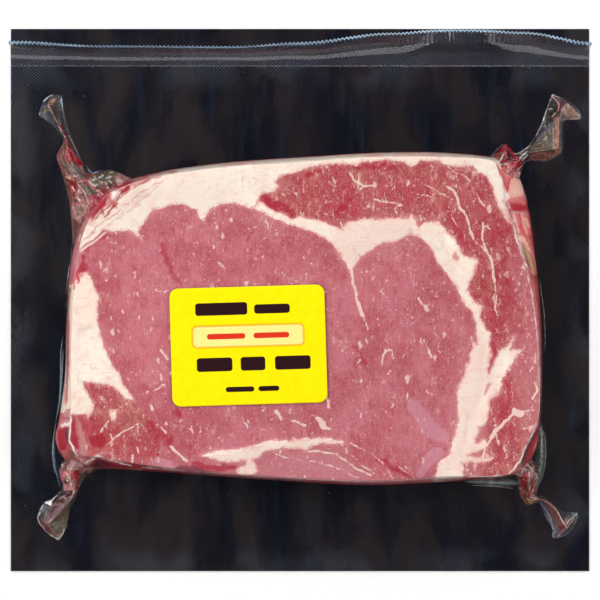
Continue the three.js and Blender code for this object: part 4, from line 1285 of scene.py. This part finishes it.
            ("white", 0.95, 0.2, [(72.8, 50.3), (74.1, 51.8), (75.2, 53.8)]),
            ("pale", 0.95, 0.2, [(74.2, 49.8), (76.5, 49.9)]),
            ("salmon", 0.95, 0.21, [(76.3, 57.2), (75.9, 52.7)]),
            ("red", 0.95, 0.29, [(72.6, 50.3), (73.7, 46.9), (76.4, 39.7)]),
            ("red", 0.95, 0.33, [(79.1, 47.9), (78.2, 44.9), (76.4, 39.7)]),
            ("white", 0.95, 0.18, [(75.4, 44.6), (76.3, 45.9)]),
            ("white", 1, 0.33, [(79.8, 54.4), (82.4, 55.4), (84.9, 57.1)]),
            ("white", 0.95, 0.21, [(81.4, 52.6), (84.2, 55.3)]),
            ("white", 1, 0.26, [(82.8, 52), (84.4, 53.7)]),
            ("cream", 0.95, 0.26, [(80.8, 48.5), (83.4, 50.6), (85.6, 51.9)]),
            ("copper", 0.95, 0.29, [(85.6, 51.9), (89.1, 52.4), (91.7, 52.3), (96.2, 54.7), (96.7, 55.1)]),
            ("copper", 0.95, 0.33, [(96.7, 55.1), (96.3, 59.9), (96.3, 67.9), (97.2, 70.7), (98.7, 72.4),
                (100, 72.8)]),
            ("pale", 0.95, 0.18, [(97.1, 55.8), (96.9, 67.7), (97.6, 70.4), (99.7, 72.4)]),
            ("pale", 0.7, 0.17, [(94.4, 66.1), (94.1, 56.7), (95.4, 55)]),
            ("pale", 0.9, 0.21, [(84.9, 56.9), (89.3, 63.6), (91, 67.3)]),
            ("white", 0.95, 0.29, [(91, 67.3), (92.1, 72.3), (93.3, 75.1)]),
            ("white", 1, 0.42, [(93.9, 76.3), (94.5, 76.8)]),
            ("cream", 0.95, 0.24, [(92.9, 71.3), (93.8, 71.1)]),
            ("gold", 1, 0.29, [(93.8, 68.2), (94.9, 69.5)]),
            ("cream", 0.9, 0.2, [(94.4, 76), (96.4, 73), (95.9, 70.4)]),
            ("pale", 0.9, 0.18, [(94.8, 76.5), (96.9, 75.3), (100, 72.8)]),
            ("steel", 0.8, 0.2, [(95.5, 76.6), (100.4, 74.8), (104.5, 70.1), (105.2, 67)]),
            ("pale", 0.95, 0.29, [(101.8, 74.9), (102.8, 74.6)]),
        ],
    },
    "frontLeft": {
        "rows": [
            (-86, -57, -79.6, -56.9, 16, -71.9, -61.5), (-90, -63.1, -84.3, -63, 13, -79.2, -65.2),
            (-89.6, -66.5, -84.8, -66.9, 10.5, -81.4, -68), (-88.6, -70, -83.7, -70.8, 8, -83.3, -71.9),
            (-91.6, -73.5, -84.7, -73.5, 7.7, -84.4, -75.1),
                (-95.4, -75.6, -87.9, -77.1, 7.1, -86.1, -78.2),
            (-97.3, -78.4, -91, -80.6, 6.4, -86.7, -82), (-98.2, -81, -93.6, -83.6, 5.7, -87.4, -85.3),
            (-98, -82.4, -93.7, -84.3, 5.2, -88.5, -87.4), (-97.7, -83.2, -94.3, -87.2, 0.5, -90, -89.9),
        ],
        "neck": 0.33,
        "flanks": ("soot", "olive"),
        "root": "brown",
        "patches": [
            ("mauve", 0.9, 0.6, [(-85.9, -60.6), (-84.1, -59.2), (-80.2, -59.7), (-79.7, -62.7),
                (-83.9, -62.9), (-86.6, -62.6)]),
            ("salmon", 0.95, 0.5, [(-89.5, -63.6), (-83.4, -62.9), (-82, -66.3), (-82.8, -68.4),
                (-83.9, -70.8), (-88.3, -70.2), (-89.3, -66.5)]),
            ("crimson", 0.95, 0.4, [(-83.9, -63.2), (-81.7, -63.4), (-82, -66.3), (-83.5, -66)]),
            ("brown", 0.9, 0.5, [(-88.5, -67.5), (-85.6, -65.9), (-84.2, -67), (-85.4, -68.7),
                (-88, -69.1)]),
            ("mauve", 0.85, 0.4, [(-88.3, -68.6), (-84.8, -68.1), (-84.3, -70.8), (-88, -71.2)]),
            ("olive", 0.75, 0.5, [(-81.5, -64), (-78.4, -64), (-80.2, -66.6), (-81.6, -68.4),
                (-82.7, -67.8), (-83.7, -70.4), (-83.9, -68.2), (-82, -66.3)]),
            ("soot", 0.85, 0.3, [(-88.6, -70.7), (-92.1, -75.3), (-96.7, -79.9), (-94.9, -81),
                (-87.3, -71.6)]),
            ("maroon", 0.8, 0.5, [(-87.3, -71.6), (-83.7, -71), (-84.9, -74), (-93.3, -82.9),
                (-96.6, -82.2), (-94.9, -80.5)]),
            ("brown", 0.7, 0.4, [(-96.6, -82.2), (-93.6, -83.4), (-90.4, -88.3), (-92.5, -87.8),
                (-95.1, -85.6), (-97, -83.3)]),
            ("olive", 0.65, 0.5, [(-86.2, -76.5), (-86.9, -83.4), (-88.4, -87), (-89.9, -87.8),
                (-93.1, -83.2)]),
            ("steel", 0.8, 0.3, [(-96.5, -76.3), (-94, -76.7), (-95, -78.8), (-97, -79.6)]),
            ("white", 1, 0.25, [(-95.6, -75.6), (-92.3, -74.3), (-92.7, -76.5), (-93.6, -76.4)]),
        ],
        "lines": [
            ("white", 0.9, 0.21, [(-92.2, -74.4), (-89.2, -70.9)]),
            ("plum", 0.8, 0.24, [(-84.9, -72.4), (-89.4, -77.9), (-94.2, -82.5)]),
            ("plum", 0.7, 0.24, [(-86.1, -72.3), (-90.5, -77.5), (-95.4, -82.1)]),
            ("blush", 0.95, 0.26, [(-83.7, -70.9), (-84, -72.2), (-86.1, -75.9), (-89.6, -79.5),
                (-93.1, -82.6)]),
            ("cream", 0.95, 0.33, [(-84.5, -66.9), (-83.7, -68.8), (-83.6, -71.2)]),
            ("copper", 0.9, 0.23, [(-93.5, -83.7), (-91.8, -86.1), (-90.2, -88.3)]),
            ("blue", 0.95, 0.21, [(-89.8, -63.6), (-89.6, -66.6), (-88.6, -70)]),
            ("pale", 0.85, 0.24, [(-97, -79.6), (-97.9, -81), (-97.3, -83.3), (-94.9, -86.5),
                (-90.7, -89.4), (-88.6, -87.8), (-88.2, -85.7)]),
            ("white", 0.95, 0.24, [(-86.1, -65.9), (-85.1, -65.7)]),
            ("white", 0.95, 0.26, [(-86.8, -66.7), (-85.9, -67.1)]),
            ("white", 0.95, 0.24, [(-84.9, -67.5), (-84.7, -68.4)]),
            ("cream", 0.9, 0.24, [(-86.2, -62.8), (-83.8, -62), (-82, -62.6)]),
            ("white", 0.9, 0.24, [(-92, -61.9), (-90.5, -61.1), (-88.3, -61.1), (-88.8, -63)]),
            ("red", 0.9, 0.24, [(-83.4, -62.9), (-83.2, -65.5), (-82.5, -67.3), (-83.5, -70.5)]),
            ("cream", 0.9, 0.21, [(-87.5, -64), (-85.6, -64.8), (-84.5, -66.6)]),
        ],
    },
    "frontRight": {
        "rows": [
            (74.1, -62.9, 77, -59, 17.4, 83.1, -51.8), (81.2, -66.5, 80.4, -62.9, 14.4, 86.7, -59.4),
            (81.5, -70.2, 83.7, -65.4, 12.4, 88.9, -65.4), (82.7, -74, 84.4, -69.6, 11, 88.7, -70),
            (85.1, -76.5, 86, -73.2, 9.4, 88.7, -72.6), (89.3, -75.5, 89.2, -73.9, 8, 90.8, -73.4),
            (90.4, -77.7, 91.5, -74.8, 7.6, 93.4, -75.1), (91.7, -80.9, 94.2, -77.1, 7, 96.1, -77.5),
            (93.3, -83.7, 96.7, -80.5, 6.2, 99, -79.4), (94.4, -86.3, 98.5, -84.4, 5.4, 102.6, -79.3),
            (94.2, -88.1, 99, -85, 5, 103.5, -79.6), (94.9, -88.9, 100.5, -86.9, 0.5, 103.9, -80.6),
        ],
        "neck": 0.46,
        "flanks": ("steel", "smoke"),
        "root": "brown",
        "patches": [
            ("brown", 0.9, 0.4, [(81, -64.6), (85.4, -60), (87.9, -63.9), (88, -65.8), (86.6, -70.9),
                (84.7, -76.3), (82.9, -74.2), (81.5, -70.2)]),
            ("crimson", 0.85, 0.5, [(81.6, -65.5), (83.5, -62.7), (85.2, -63.9), (85.2, -68),
                (83.9, -72.2), (82.2, -69.9)]),
            ("olive", 0.85, 0.4, [(84, -66.9), (86.1, -66), (85.5, -69.7), (84.4, -71.8), (83.6, -70.9)]),
            ("grey", 0.85, 0.3, [(85.2, -64.1), (87, -64.6), (87.4, -66), (85.7, -66)]),
            ("maroon", 0.9, 0.4, [(81.4, -63.6), (85.4, -60.3), (87.3, -60.6), (85.3, -62.9),
                (82.8, -64.1)]),
            ("crimson", 0.95, 0.25, [(86.5, -67), (87.5, -67.4), (85.1, -71.1), (84.6, -72.3),
                (84.4, -70.7)]),
            ("gold", 0.85, 0.3, [(85.4, -74.2), (87.4, -73.4), (88.4, -73.8), (86.9, -75.3),
                (84.8, -75.6)]),
            ("black", 0.8, 0.3, [(86.3, -71.6), (89.2, -72.9), (89.7, -73.8), (87.6, -73.2)]),
            ("brown", 0.8, 0.4, [(90.1, -74.5), (93, -75.8), (95, -78.1), (98.6, -84.8), (96.3, -86.6),
                (95.5, -83.2), (93.2, -78.6)]),
            ("steel", 0.7, 0.3, [(89.9, -75.3), (91.4, -76.8), (93.9, -81.4), (95.6, -85.6),
                (94.9, -85.7), (92.2, -80.4)]),
            ("maroon", 0.9, 0.4, [(95.8, -84.2), (98.1, -84.3), (98.7, -85.4), (96.4, -87.2)]),
            ("smoke", 0.6, 0.4, [(96.3, -78.2), (99.7, -80.8), (103.3, -80), (101.3, -81.4), (98.6, -84)]),
            ("maroon", 0.7, 0.4, [(97.9, -81.2), (100.2, -81.9), (101.6, -81.4), (99.2, -84.8)]),
        ],
        "lines": [
            ("blush", 0.95, 0.24, [(81, -64.6), (83, -61.7), (85.6, -59.8), (86.9, -62.2), (88, -65),
                (88.1, -67.5), (87.2, -69.4), (84.7, -74.2)]),
            ("copper", 0.95, 0.24, [(81.4, -66.4), (81.6, -70.2), (82.6, -73.6), (84.4, -76.3)]),
            ("gold", 1, 0.29, [(84.4, -76.3), (85.9, -75.9), (87.9, -75), (89.1, -74.2)]),
            ("pale", 0.95, 0.2, [(86.2, -72.1), (87.8, -73.1), (88.5, -73.7)]),
            ("cream", 0.9, 0.2, [(85.5, -73), (87.4, -73.5)]),
            ("salmon", 0.95, 0.33, [(89.1, -74.2), (90.5, -74.3), (92.5, -75.3), (95.1, -77.9),
                (96.9, -81), (99.2, -84.8)]),
            ("white", 0.9, 0.18, [(94.6, -76.8), (95.9, -79.2), (98, -83.2)]),
            ("pale", 0.9, 0.18, [(89.6, -75.4), (91.8, -78.5), (93.5, -81.7), (94.5, -85.4)]),
            ("fern", 0.85, 0.47, [(103.4, -80), (103.8, -81), (102.5, -84.7), (99.1, -88.1),
                (95.7, -89.4), (94.5, -88.7), (95.2, -85.9)]),
            ("blush", 0.85, 0.23, [(96.2, -88.3), (99.2, -85.1), (102.2, -81.7)]),
            ("pale", 0.9, 0.18, [(99.4, -83.3), (100.5, -81.9), (102, -80.9)]),
            ("cream", 0.9, 0.18, [(81.9, -70.1), (82.9, -71.6)]),
        ],
    },
}


def facetsOf(co, wide):  # film crumples into facets with sharp ridges between them
    return np.array([noise.voronoi(Vector(c) / wide)[0][0] ** 2 for c in co])


def overRidge(v, side, bow, a, ridge, b):  # from foot to foot over the ridge, or in one arc at the tip
    straight = side * (np.where(v < 0, a, b) - ridge)
    arc = (b - a) / 2 * v + v * v * ((a + b) / 2 - ridge)
    return ridge + straight + bow * (arc - straight)


def buildFold(name, fold, finish):
    obj, u, v = newSheet(name, folds["cells"], finish)
    run, side = (u + 1) / 2, abs(v)
    rows = curveThrough(fold["rows"], folds["rowSteps"])
    ax, ay, rx, ry, rz, bx, by = (alongCurve(run * (len(rows) - 1), column) for column in rows.T)
    bow = smooth(run, folds["tip"], 1.0)
    x, y = overRidge(v, side, bow, ax, rx, bx), overRidge(v, side, bow, ay, ry, by)
    z = folds["level"] + (rz - folds["level"]) * (1 - side) ** eased(folds["fullness"], run)
    form = np.stack([x, y, z], 1)
    moveTo(obj.data, form)

    # crumpled along its normals, less so near the feet and the steak
    normals = np.empty(len(form) * 3, np.float32)
    obj.data.vertex_normals.foreach_get("vector", normals)
    normals = normals.reshape(-1, 3)
    normals *= np.sign(normals[:, 2].mean())
    amount = eased(folds["crumple"], run) * smooth(1 - side, 0, 0.25) * smooth(1 - run, 0, 0.05)
    driftSize, seeds = folds["facetDrift"]
    drift = np.stack([noiseOf(form, driftSize, seed) for seed in seeds], 1)
    creases = sum(depth * facetsOf(form + drift, wide) for wide, depth in folds["facets"])
    creases -= folds["facetLevel"]
    form = form + normals * (amount * creases)[:, None]
    form[:, 2] = np.maximum(form[:, 2], folds["level"] - 0.02)
    moveTo(obj.data, form)
    if obj.data.polygons[0].normal[2] < 0:
        obj.data.flip_normals()

    before, beyond = folds["rootFade"]
    root = smooth(run, fold["neck"] + before, fold["neck"] + beyond)
    # a painted highlight along each foot of the fold
    hemHighlight = smooth(side, 0.92, 0.97) * folds["hemHighlight"]
    # each flank's tint, one per side: hazy film and a painted reflection
    tint = np.where((v < 0)[:, None], *(tones[flank] for flank in fold["flanks"]))
    tint = toned(toned(tint, fold["root"], root), "pale", hemHighlight)
    cover = np.maximum(0.3 + 0.3 * root, hemHighlight)
    wander, wanderSize, seeds = folds["wander"]
    near = [form[:, axis] + wander * noiseOf(form, wanderSize, seed) for axis, seed in enumerate(seeds)]
    mean, sway, flickerSize, seed = folds["flicker"]
    flicker = np.clip(mean + sway * noiseOf(form, flickerSize, seed), 0.45, 1)
    # the painted patches and lines: juice in the film, with painted reflections and glints
    addTint(obj.data, *paintOver(near, tint, cover, fold["patches"], fold["lines"], flicker))
    addValues(obj.data, "crease", np.clip(creases, -1, 1))
    return rideFilm(obj, folds["thickness"], "clear_film")


def foldFinish():
    made, tree, shader = finishNamed("crumpledFilm")
    here, colours = place(tree), mixed(folds["colours"])
    drawn, tiny = spots(tree, here, 1.6, 3, 0.6, 1.0), spots(tree, here, 0.5, 2, 0.6)
    # a painted highlight on the crumple's ridges, which are also more opaque
    ridgeHighlight = step(tree, value(tree, "crease"), 0.3, 0.8, 0, 0.3)
    speck = useGroup(tree, dust, {"Vector": here})["Speck"]
    colour = layered(tree, value(tree, "tint", "Color"), [
        (step(tree, drawn, 0.5, 0.68, 0, 0.6), colours["shade"]),
        (step(tree, drawn, 0.45, 0.28, 0, 0.25), colours["light"]),
        (step(tree, tiny, 0.55, 0.75, 0, 0.3), colours["pit"]),
        (ridgeHighlight, colours["ridgeHighlight"]),
        (times(tree, speck, 0.5), colours["dust"]),
    ])
    plug(tree, shader, {
        "Base Color": colour,
        "Alpha": scaled(tree, ridgeHighlight, 0.3, value(tree, "cover"), clamp=True),
        "Roughness": step(tree, tiny, 0.3, 0.7, 0.06, 0.16),
        "Normal": bumped(tree, drawn, 0.4, 0.3),
        "Specular IOR Level": 0.8,
        "Coat Weight": 1.0,
        "Coat Roughness": 0.03,
    })
    return made


pleats = {  # low ridges of film beside the steak
    "cells": (70, 8),
    "pathSteps": 24,
    "taper": 0.6,  # below 1, a pleat keeps its width nearly to its ends
    "round": 1.5,
    # the tints are painted highlights and reflections on the raised film
    "runs": [  # tone, cover, height, half width and path
        ("blue", 0.75, 1.4, 0.42, [(-88.6, -13.5), (-89.2, -19), (-89.4, -30.3), (-90, -37)]),
        ("ice", 0.7, 1.2, 0.25, [(-88.4, -18), (-88.9, -28), (-89.8, -38), (-91.2, -45)]),
        ("blue", 0.75, 1.6, 0.4, [(-90.9, -44), (-91.9, -52), (-91.4, -62), (-89.6, -69.9)]),
        ("ice", 0.6, 1.2, 0.2, [(-91.6, -48), (-92.4, -56), (-91.6, -65)]),
        ("steel", 0.85, 1.4, 0.5, [(-84.9, 22), (-85.7, 13.8), (-86.6, 7.8), (-87.4, 2)]),
        ("ice", 0.75, 1.2, 0.22, [(-85.6, 15), (-86.5, 10), (-86.9, 5)]),
        ("fern", 0.75, 2.4, 2.0, [(88.8, -43), (89.7, -50), (89.7, -58), (88.8, -66), (87.6, -72)]),
        ("pale", 0.6, 1.4, 0.3, [(91.4, -49), (91.7, -58), (90.6, -67)]),
        ("steel", 0.6, 1.8, 0.5, [(89.6, -60), (90, -66), (88.6, -71)]),
        ("fern", 0.85, 1.4, 1.8, [(60, -67.4), (69, -67.6), (76, -68), (83, -68.4)]),
        ("pale", 0.75, 0.8, 0.25, [(64, -69.2), (72, -69.5), (80, -70.4)]),
        ("steel", 0.8, 2.0, 0.6, [(-80, 50.5), (-76.8, 47), (-73.5, 49)]),
        ("ice", 0.8, 1.6, 0.25, [(-79.6, 49), (-77.5, 47.4), (-75, 48.2)]),
        ("pale", 0.5, 0.8, 0.25, [(89.4, 8), (91.2, -6), (91.6, -20)]),
    ],
}


def buildPleats(finish):
    obj, u, v = newSheet("filmPleats", pleats["cells"], finish, len(pleats["runs"]))
    each = len(u) // len(pleats["runs"])
    form, tint, cover = np.zeros((len(u), 3)), np.zeros((len(u), 4)), np.zeros(len(u))
    for n, (tone, strength, height, half, path) in enumerate(pleats["runs"]):
        own = slice(n * each, (n + 1) * each)
        line, run, across = curveThrough(path, pleats["pathSteps"]), (u[own] + 1) / 2, v[own]
        at = run * (len(line) - 1)
        x, y = (alongCurve(at, column) for column in line.T)
        wayX, wayY = (alongCurve(at, np.gradient(column)) for column in line.T)
        taper = np.sin(math.pi * run) ** pleats["taper"]
        wander = 1 + 0.15 / (0.2 + half) * np.sin(at * 0.8 + n) * np.sin(at * 0.27)
        shift = across * half * taper * wander / np.hypot(wayX, wayY)
        rise = height * taper * wander * (1 - across**2) ** pleats["round"]
        form[own] = np.stack([x - wayY * shift, y + wayX * shift, folds["level"] + rise], 1)
        tint[own] = tones[tone]
        cover[own] = strength * taper * (1 - 0.65 * across**2)
    moveTo(obj.data, form)
    addTint(obj.data, tint, cover)
    addValues(obj.data, "crease", np.zeros(len(u)))
    return rideFilm(obj, folds["thickness"], "clear_film")


crumpledFilm = foldFinish()
buildPleats(crumpledFilm)
for corner in ("backLeft", "backRight", "frontLeft", "frontRight"):
    buildFold(corner + "Fold", folds[corner], crumpledFilm)
print("film made")


backing = {
    "ribShare": 0.65,
    "colours": {
        "cool": (11, 12, 22), "warm": (24, 17, 20), "wiped": (22, 30, 46), "deep": (8, 8, 10),
        "dust": (104, 106, 112), "rib": (76, 80, 90),
    },
}


def backingFinish():
    made, tree, shader = finishNamed("blackBacking")
    here, colours = place(tree), mixed(backing["colours"])
    specks = useGroup(tree, dust, {"Vector": here})
    streak, rib = specks["Streak"], ribHere(tree, here)
    patches = spots(tree, drawnOut(tree, here, 0, 0.45), 17, 3, 0.55, 0.4)
    colour = layered(tree, colours["cool"], [
        (step(tree, patches, 0.38, 0.64), colours["warm"]),
        (step(tree, streak, 0.5, 0.7, 0, 0.5), colours["wiped"]),
        (step(tree, streak, 0.42, 0.26, 0, 0.5), colours["deep"]),
        (times(tree, specks["Speck"], 0.6), colours["dust"]),
        (times(tree, rib, backing["ribShare"]), colours["rib"]),
    ])
    plug(tree, shader, {
        "Base Color": colour,
        "Roughness": step(tree, patches, 0.3, 0.7, 0.2, 0.34),
        "Normal": bumped(tree, scaled(tree, rib, 0.6, times(tree, streak, 0.4)), 0.3, 0.08),
    })
    return made


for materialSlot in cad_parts["backing_film"].material_slots:
    materialSlot.material = backingFinish()
print("backing finished")


label = {
    "cells": (112, 86),
    "width": 56.5,
    "length": 43.0,
    "corner": 3.2,
    "turn": 1.7,
    "centre": (-18.8, -16.6),
    "lift": 0.38,
    "thickness": 0.14,
    "bars": [  # centre and half sizes of the dark lines of print
        (-9.5, 13.6, 9.5, 2.3),
        (9, 13.2, 6.5, 1.7),
        (-12.5, -6.6, 6.5, 2.5),
        (1.5, -6.6, 4.5, 2.5),
        (16, -6.6, 6.5, 2.5),
        (-3.5, -15.8, 5.2, 0.95),
        (7, -15.8, 3.8, 0.95),
    ],
    "barCorner": 1.1,
    "panel": (0, 3.6, 20, 3.6),
    "panelCorner": 1.4,
    "panelBars": [(-8, 3.6, 7, 1), (8.5, 3.6, 6.5, 1)],
    "colours": {
        "yellow": (254, 230, 0), "shade": (251, 226, 0), "border": (250, 178, 30),
        "panel": (250, 228, 136), "red": (214, 50, 28), "dark": (40, 16, 20),
    },
}


def buildLabel(finish):
    obj, u, v = newSheet("labelSticker", label["cells"], finish)
    halfX, halfY, corner = label["width"] / 2, label["length"] / 2, label["corner"]
    side = np.maximum(np.maximum(abs(u), abs(v)), 1e-6)
    px, py = u / side * halfX, v / side * halfY
    cx, cy = np.sign(px) * (halfX - corner), np.sign(py) * (halfY - corner)
    inCorner = (abs(px) > abs(cx)) & (abs(py) > abs(cy))
    far = np.hypot(px - cx, py - cy)
    pull = np.where(inCorner & (far > corner), corner / np.maximum(far, 1e-6), 1)
    edgeX = np.where(inCorner, cx + (px - cx) * pull, px)
    edgeY = np.where(inCorner, cy + (py - cy) * pull, py)
    mix = side**6
    x = u * halfX * (1 - mix) + edgeX * side * mix
    y = v * halfY * (1 - mix) + edgeY * side * mix
    turn, (centreX, centreY) = math.radians(label["turn"]), label["centre"]
    turnedX = centreX + x * math.cos(turn) - y * math.sin(turn)
    turnedY = centreY + x * math.sin(turn) + y * math.cos(turn)
    height = faceHeight(turnedX, turnedY) + label["lift"]
    moveTo(obj.data, np.stack([turnedX, turnedY, height], 1))
    flat = np.stack([x / label["width"] + 0.5, y / label["length"] + 0.5], 1)[loopVertices(obj.data)]
    layer = obj.data.uv_layers.new(name="print")
    layer.data.foreach_set("uv", flat.astype(np.float32).ravel())
    return ride(thicken(obj, label["thickness"], 1.0), "label", "label")


# A bar with round ends in the print: 1 inside it, 0 outside.
def barGroup():
    sizes = [(name, "Float") for name in ("X", "Y", "Half X", "Half Y", "Round")]
    tree, start, end = newGroup("printedBar", [("Vector", "Vector"), *sizes], ["Mask", "Distance"])
    parts = put(tree, "SeparateXYZ", {0: start["Vector"]}).outputs
    edge = []
    for n, axis in enumerate("XY"):
        straight = minus(tree, start["Half " + axis], start["Round"])
        edge.append(minus(tree, absolute(tree, minus(tree, parts[n], start[axis])), straight))
    beyond = put(tree, "CombineXYZ", {n: largest(tree, edge[n], 0.0) for n in (0, 1)}).outputs[0]
    outer = vectorMath(tree, "LENGTH", {0: beyond})["Value"]
    inner = calc(tree, "MINIMUM", largest(tree, *edge), 0.0)
    far = minus(tree, plus(tree, outer, inner), start["Round"])
    plug(tree, end, {"Distance": far, "Mask": step(tree, far, 0.06, -0.06)})
    return tree


def labelFinish():
    made, tree, shader = finishNamed("yellowSticker")
    bar, colours, wide, long = barGroup(), mixed(label["colours"]), label["width"], label["length"]
    uv = put(tree, "UVMap", uv_map="print").outputs[0]
    at = stretched(tree, uv, scale=(wide, long, 1), move=(-wide / 2, -long / 2, 0))

    def mark(box, corner, output="Mask"):
        sizes = dict(zip(("X", "Y", "Half X", "Half Y"), box))
        return useGroup(tree, bar, {"Vector": at, "Round": corner, **sizes})[output]

    fibre, panel = spots(tree, place(tree), 3), mark(label["panel"], label["panelCorner"], "Distance")
    red = largest(tree, *[mark(box, box[3]) for box in label["panelBars"]])
    dark = largest(tree, *[mark(box, min(box[3], label["barCorner"])) for box in label["bars"]])
    colour = layered(tree, colours["yellow"], [
        (step(tree, fibre, 0.35, 0.65), colours["shade"]),
        (step(tree, panel, 0.75, 0.6), colours["border"]),
        (step(tree, panel, 0.06, -0.06), colours["panel"]),
        (red, colours["red"]),
        (dark, colours["dark"]),
    ])
    plug(tree, shader, {
        "Base Color": colour,
        "Normal": bumped(tree, fibre, 0.1, 0.1),
        "Roughness": 0.5,
        "Specular IOR Level": 0.08,
    })
    return made


buildLabel(labelFinish())
print("label made")


studio = {
    "cameraHeight": 900.0,
    "lens": 144.5,
    "lights": [  # place, size, power, colour
        ((-620, 160, 560), (420, 700), 4.25, (1.0, 0.99, 0.97)),
        ((620, 120, 560), (420, 700), 3.5, (1.0, 0.99, 0.98)),
        ((0, 700, 520), (800, 300), 2.6, (1.0, 1.0, 1.0)),
        ((0, -560, 690), (900, 320), 1.7, (1.0, 1.0, 1.0)),
    ],
    "glints": [  # place and power of small, faint lamps, for glints on the film
        ((-520, 420, 640), 0.035),
        ((460, 520, 620), 0.035),
        ((-300, -560, 660), 0.03),
        ((600, -260, 600), 0.03),
        ((-640, -200, 520), 0.035),
        ((120, 640, 560), 0.035),
        ((-200, 380, 780), 0.03),
        ((330, -420, 760), 0.03),
    ],
    "glintSize": (24, 24),
    "glintColour": (1.0, 1.0, 1.0),
    "floor": (4000, 0.2),  # half its size, and how far it lies below the pack
    "floorColours": {"pale": (243, 243, 243), "paler": (247, 247, 247)},
    "skyLow": (0.35, 0.35, 0.355, 1),
    "skyHigh": (0.018, 0.018, 0.023, 1),
    "skySpan": (0.55, 0.97),
}


def hangLamp(name, where, wide, power, colour):
    lamp = bpy.data.lights.new(name, "AREA")
    lamp.shape, lamp.size, lamp.size_y = "RECTANGLE", wide[0] * mm, wide[1] * mm
    lamp.energy, lamp.color = power, colour
    obj = bpy.data.objects.new(name, lamp)
    bpy.context.scene.collection.objects.link(obj)
    obj.location = Vector(where) * mm
    obj.rotation_euler = (-obj.location).to_track_quat("-Z", "Y").to_euler()
    obj.visible_transmission = False  # the film casts no shadow, so its inside is lit once only


def layFloor():
    half, below = studio["floor"]
    bm = bmesh.new()
    bmesh.ops.create_grid(bm, x_segments=8, y_segments=8, size=half * mm)
    bmesh.ops.translate(bm, verts=bm.verts, vec=(0, 0, -below * mm))
    made, tree, shader = finishNamed("paleFloor")
    colours = mixed(studio["floorColours"])
    colour = blend(tree, spots(tree, place(tree), 400), colours["pale"], colours["paler"])
    plug(tree, shader, {"Base Color": colour, "Roughness": 0.8})
    newObject("floor", bm, made)


def paintSky():
    world = bpy.data.worlds.new("studio")
    world.use_nodes = True
    world.cycles_visibility.transmission = False
    bpy.context.scene.world = world
    tree = world.node_tree
    up = put(tree, "SeparateXYZ", {0: put(tree, "TexCoord").outputs["Generated"]}).outputs[2]
    sky = blend(tree, step(tree, up, *studio["skySpan"]), studio["skyLow"], studio["skyHigh"])
    plug(tree, tree.nodes["Background"], {"Color": sky, "Strength": 1.0})


def setCamera():
    camera = bpy.data.objects.new("camera", bpy.data.cameras.new("camera"))
    camera.data.lens, camera.data.sensor_width = studio["lens"], 36.0
    camera.data.clip_start, camera.data.clip_end = 0.01, 20.0
    camera.location = (0, 0, studio["cameraHeight"] * mm)
    bpy.context.scene.collection.objects.link(camera)
    bpy.context.scene.camera = camera
    bpy.context.scene.view_settings.view_transform = "Standard"


layFloor()
for number, light in enumerate(studio["lights"]):
    hangLamp(f"softbox{number}", *light)
for number, (where, power) in enumerate(studio["glints"]):
    hangLamp(f"glint{number}", where, studio["glintSize"], power, studio["glintColour"])
paintSky()
setCamera()
print("stage made")
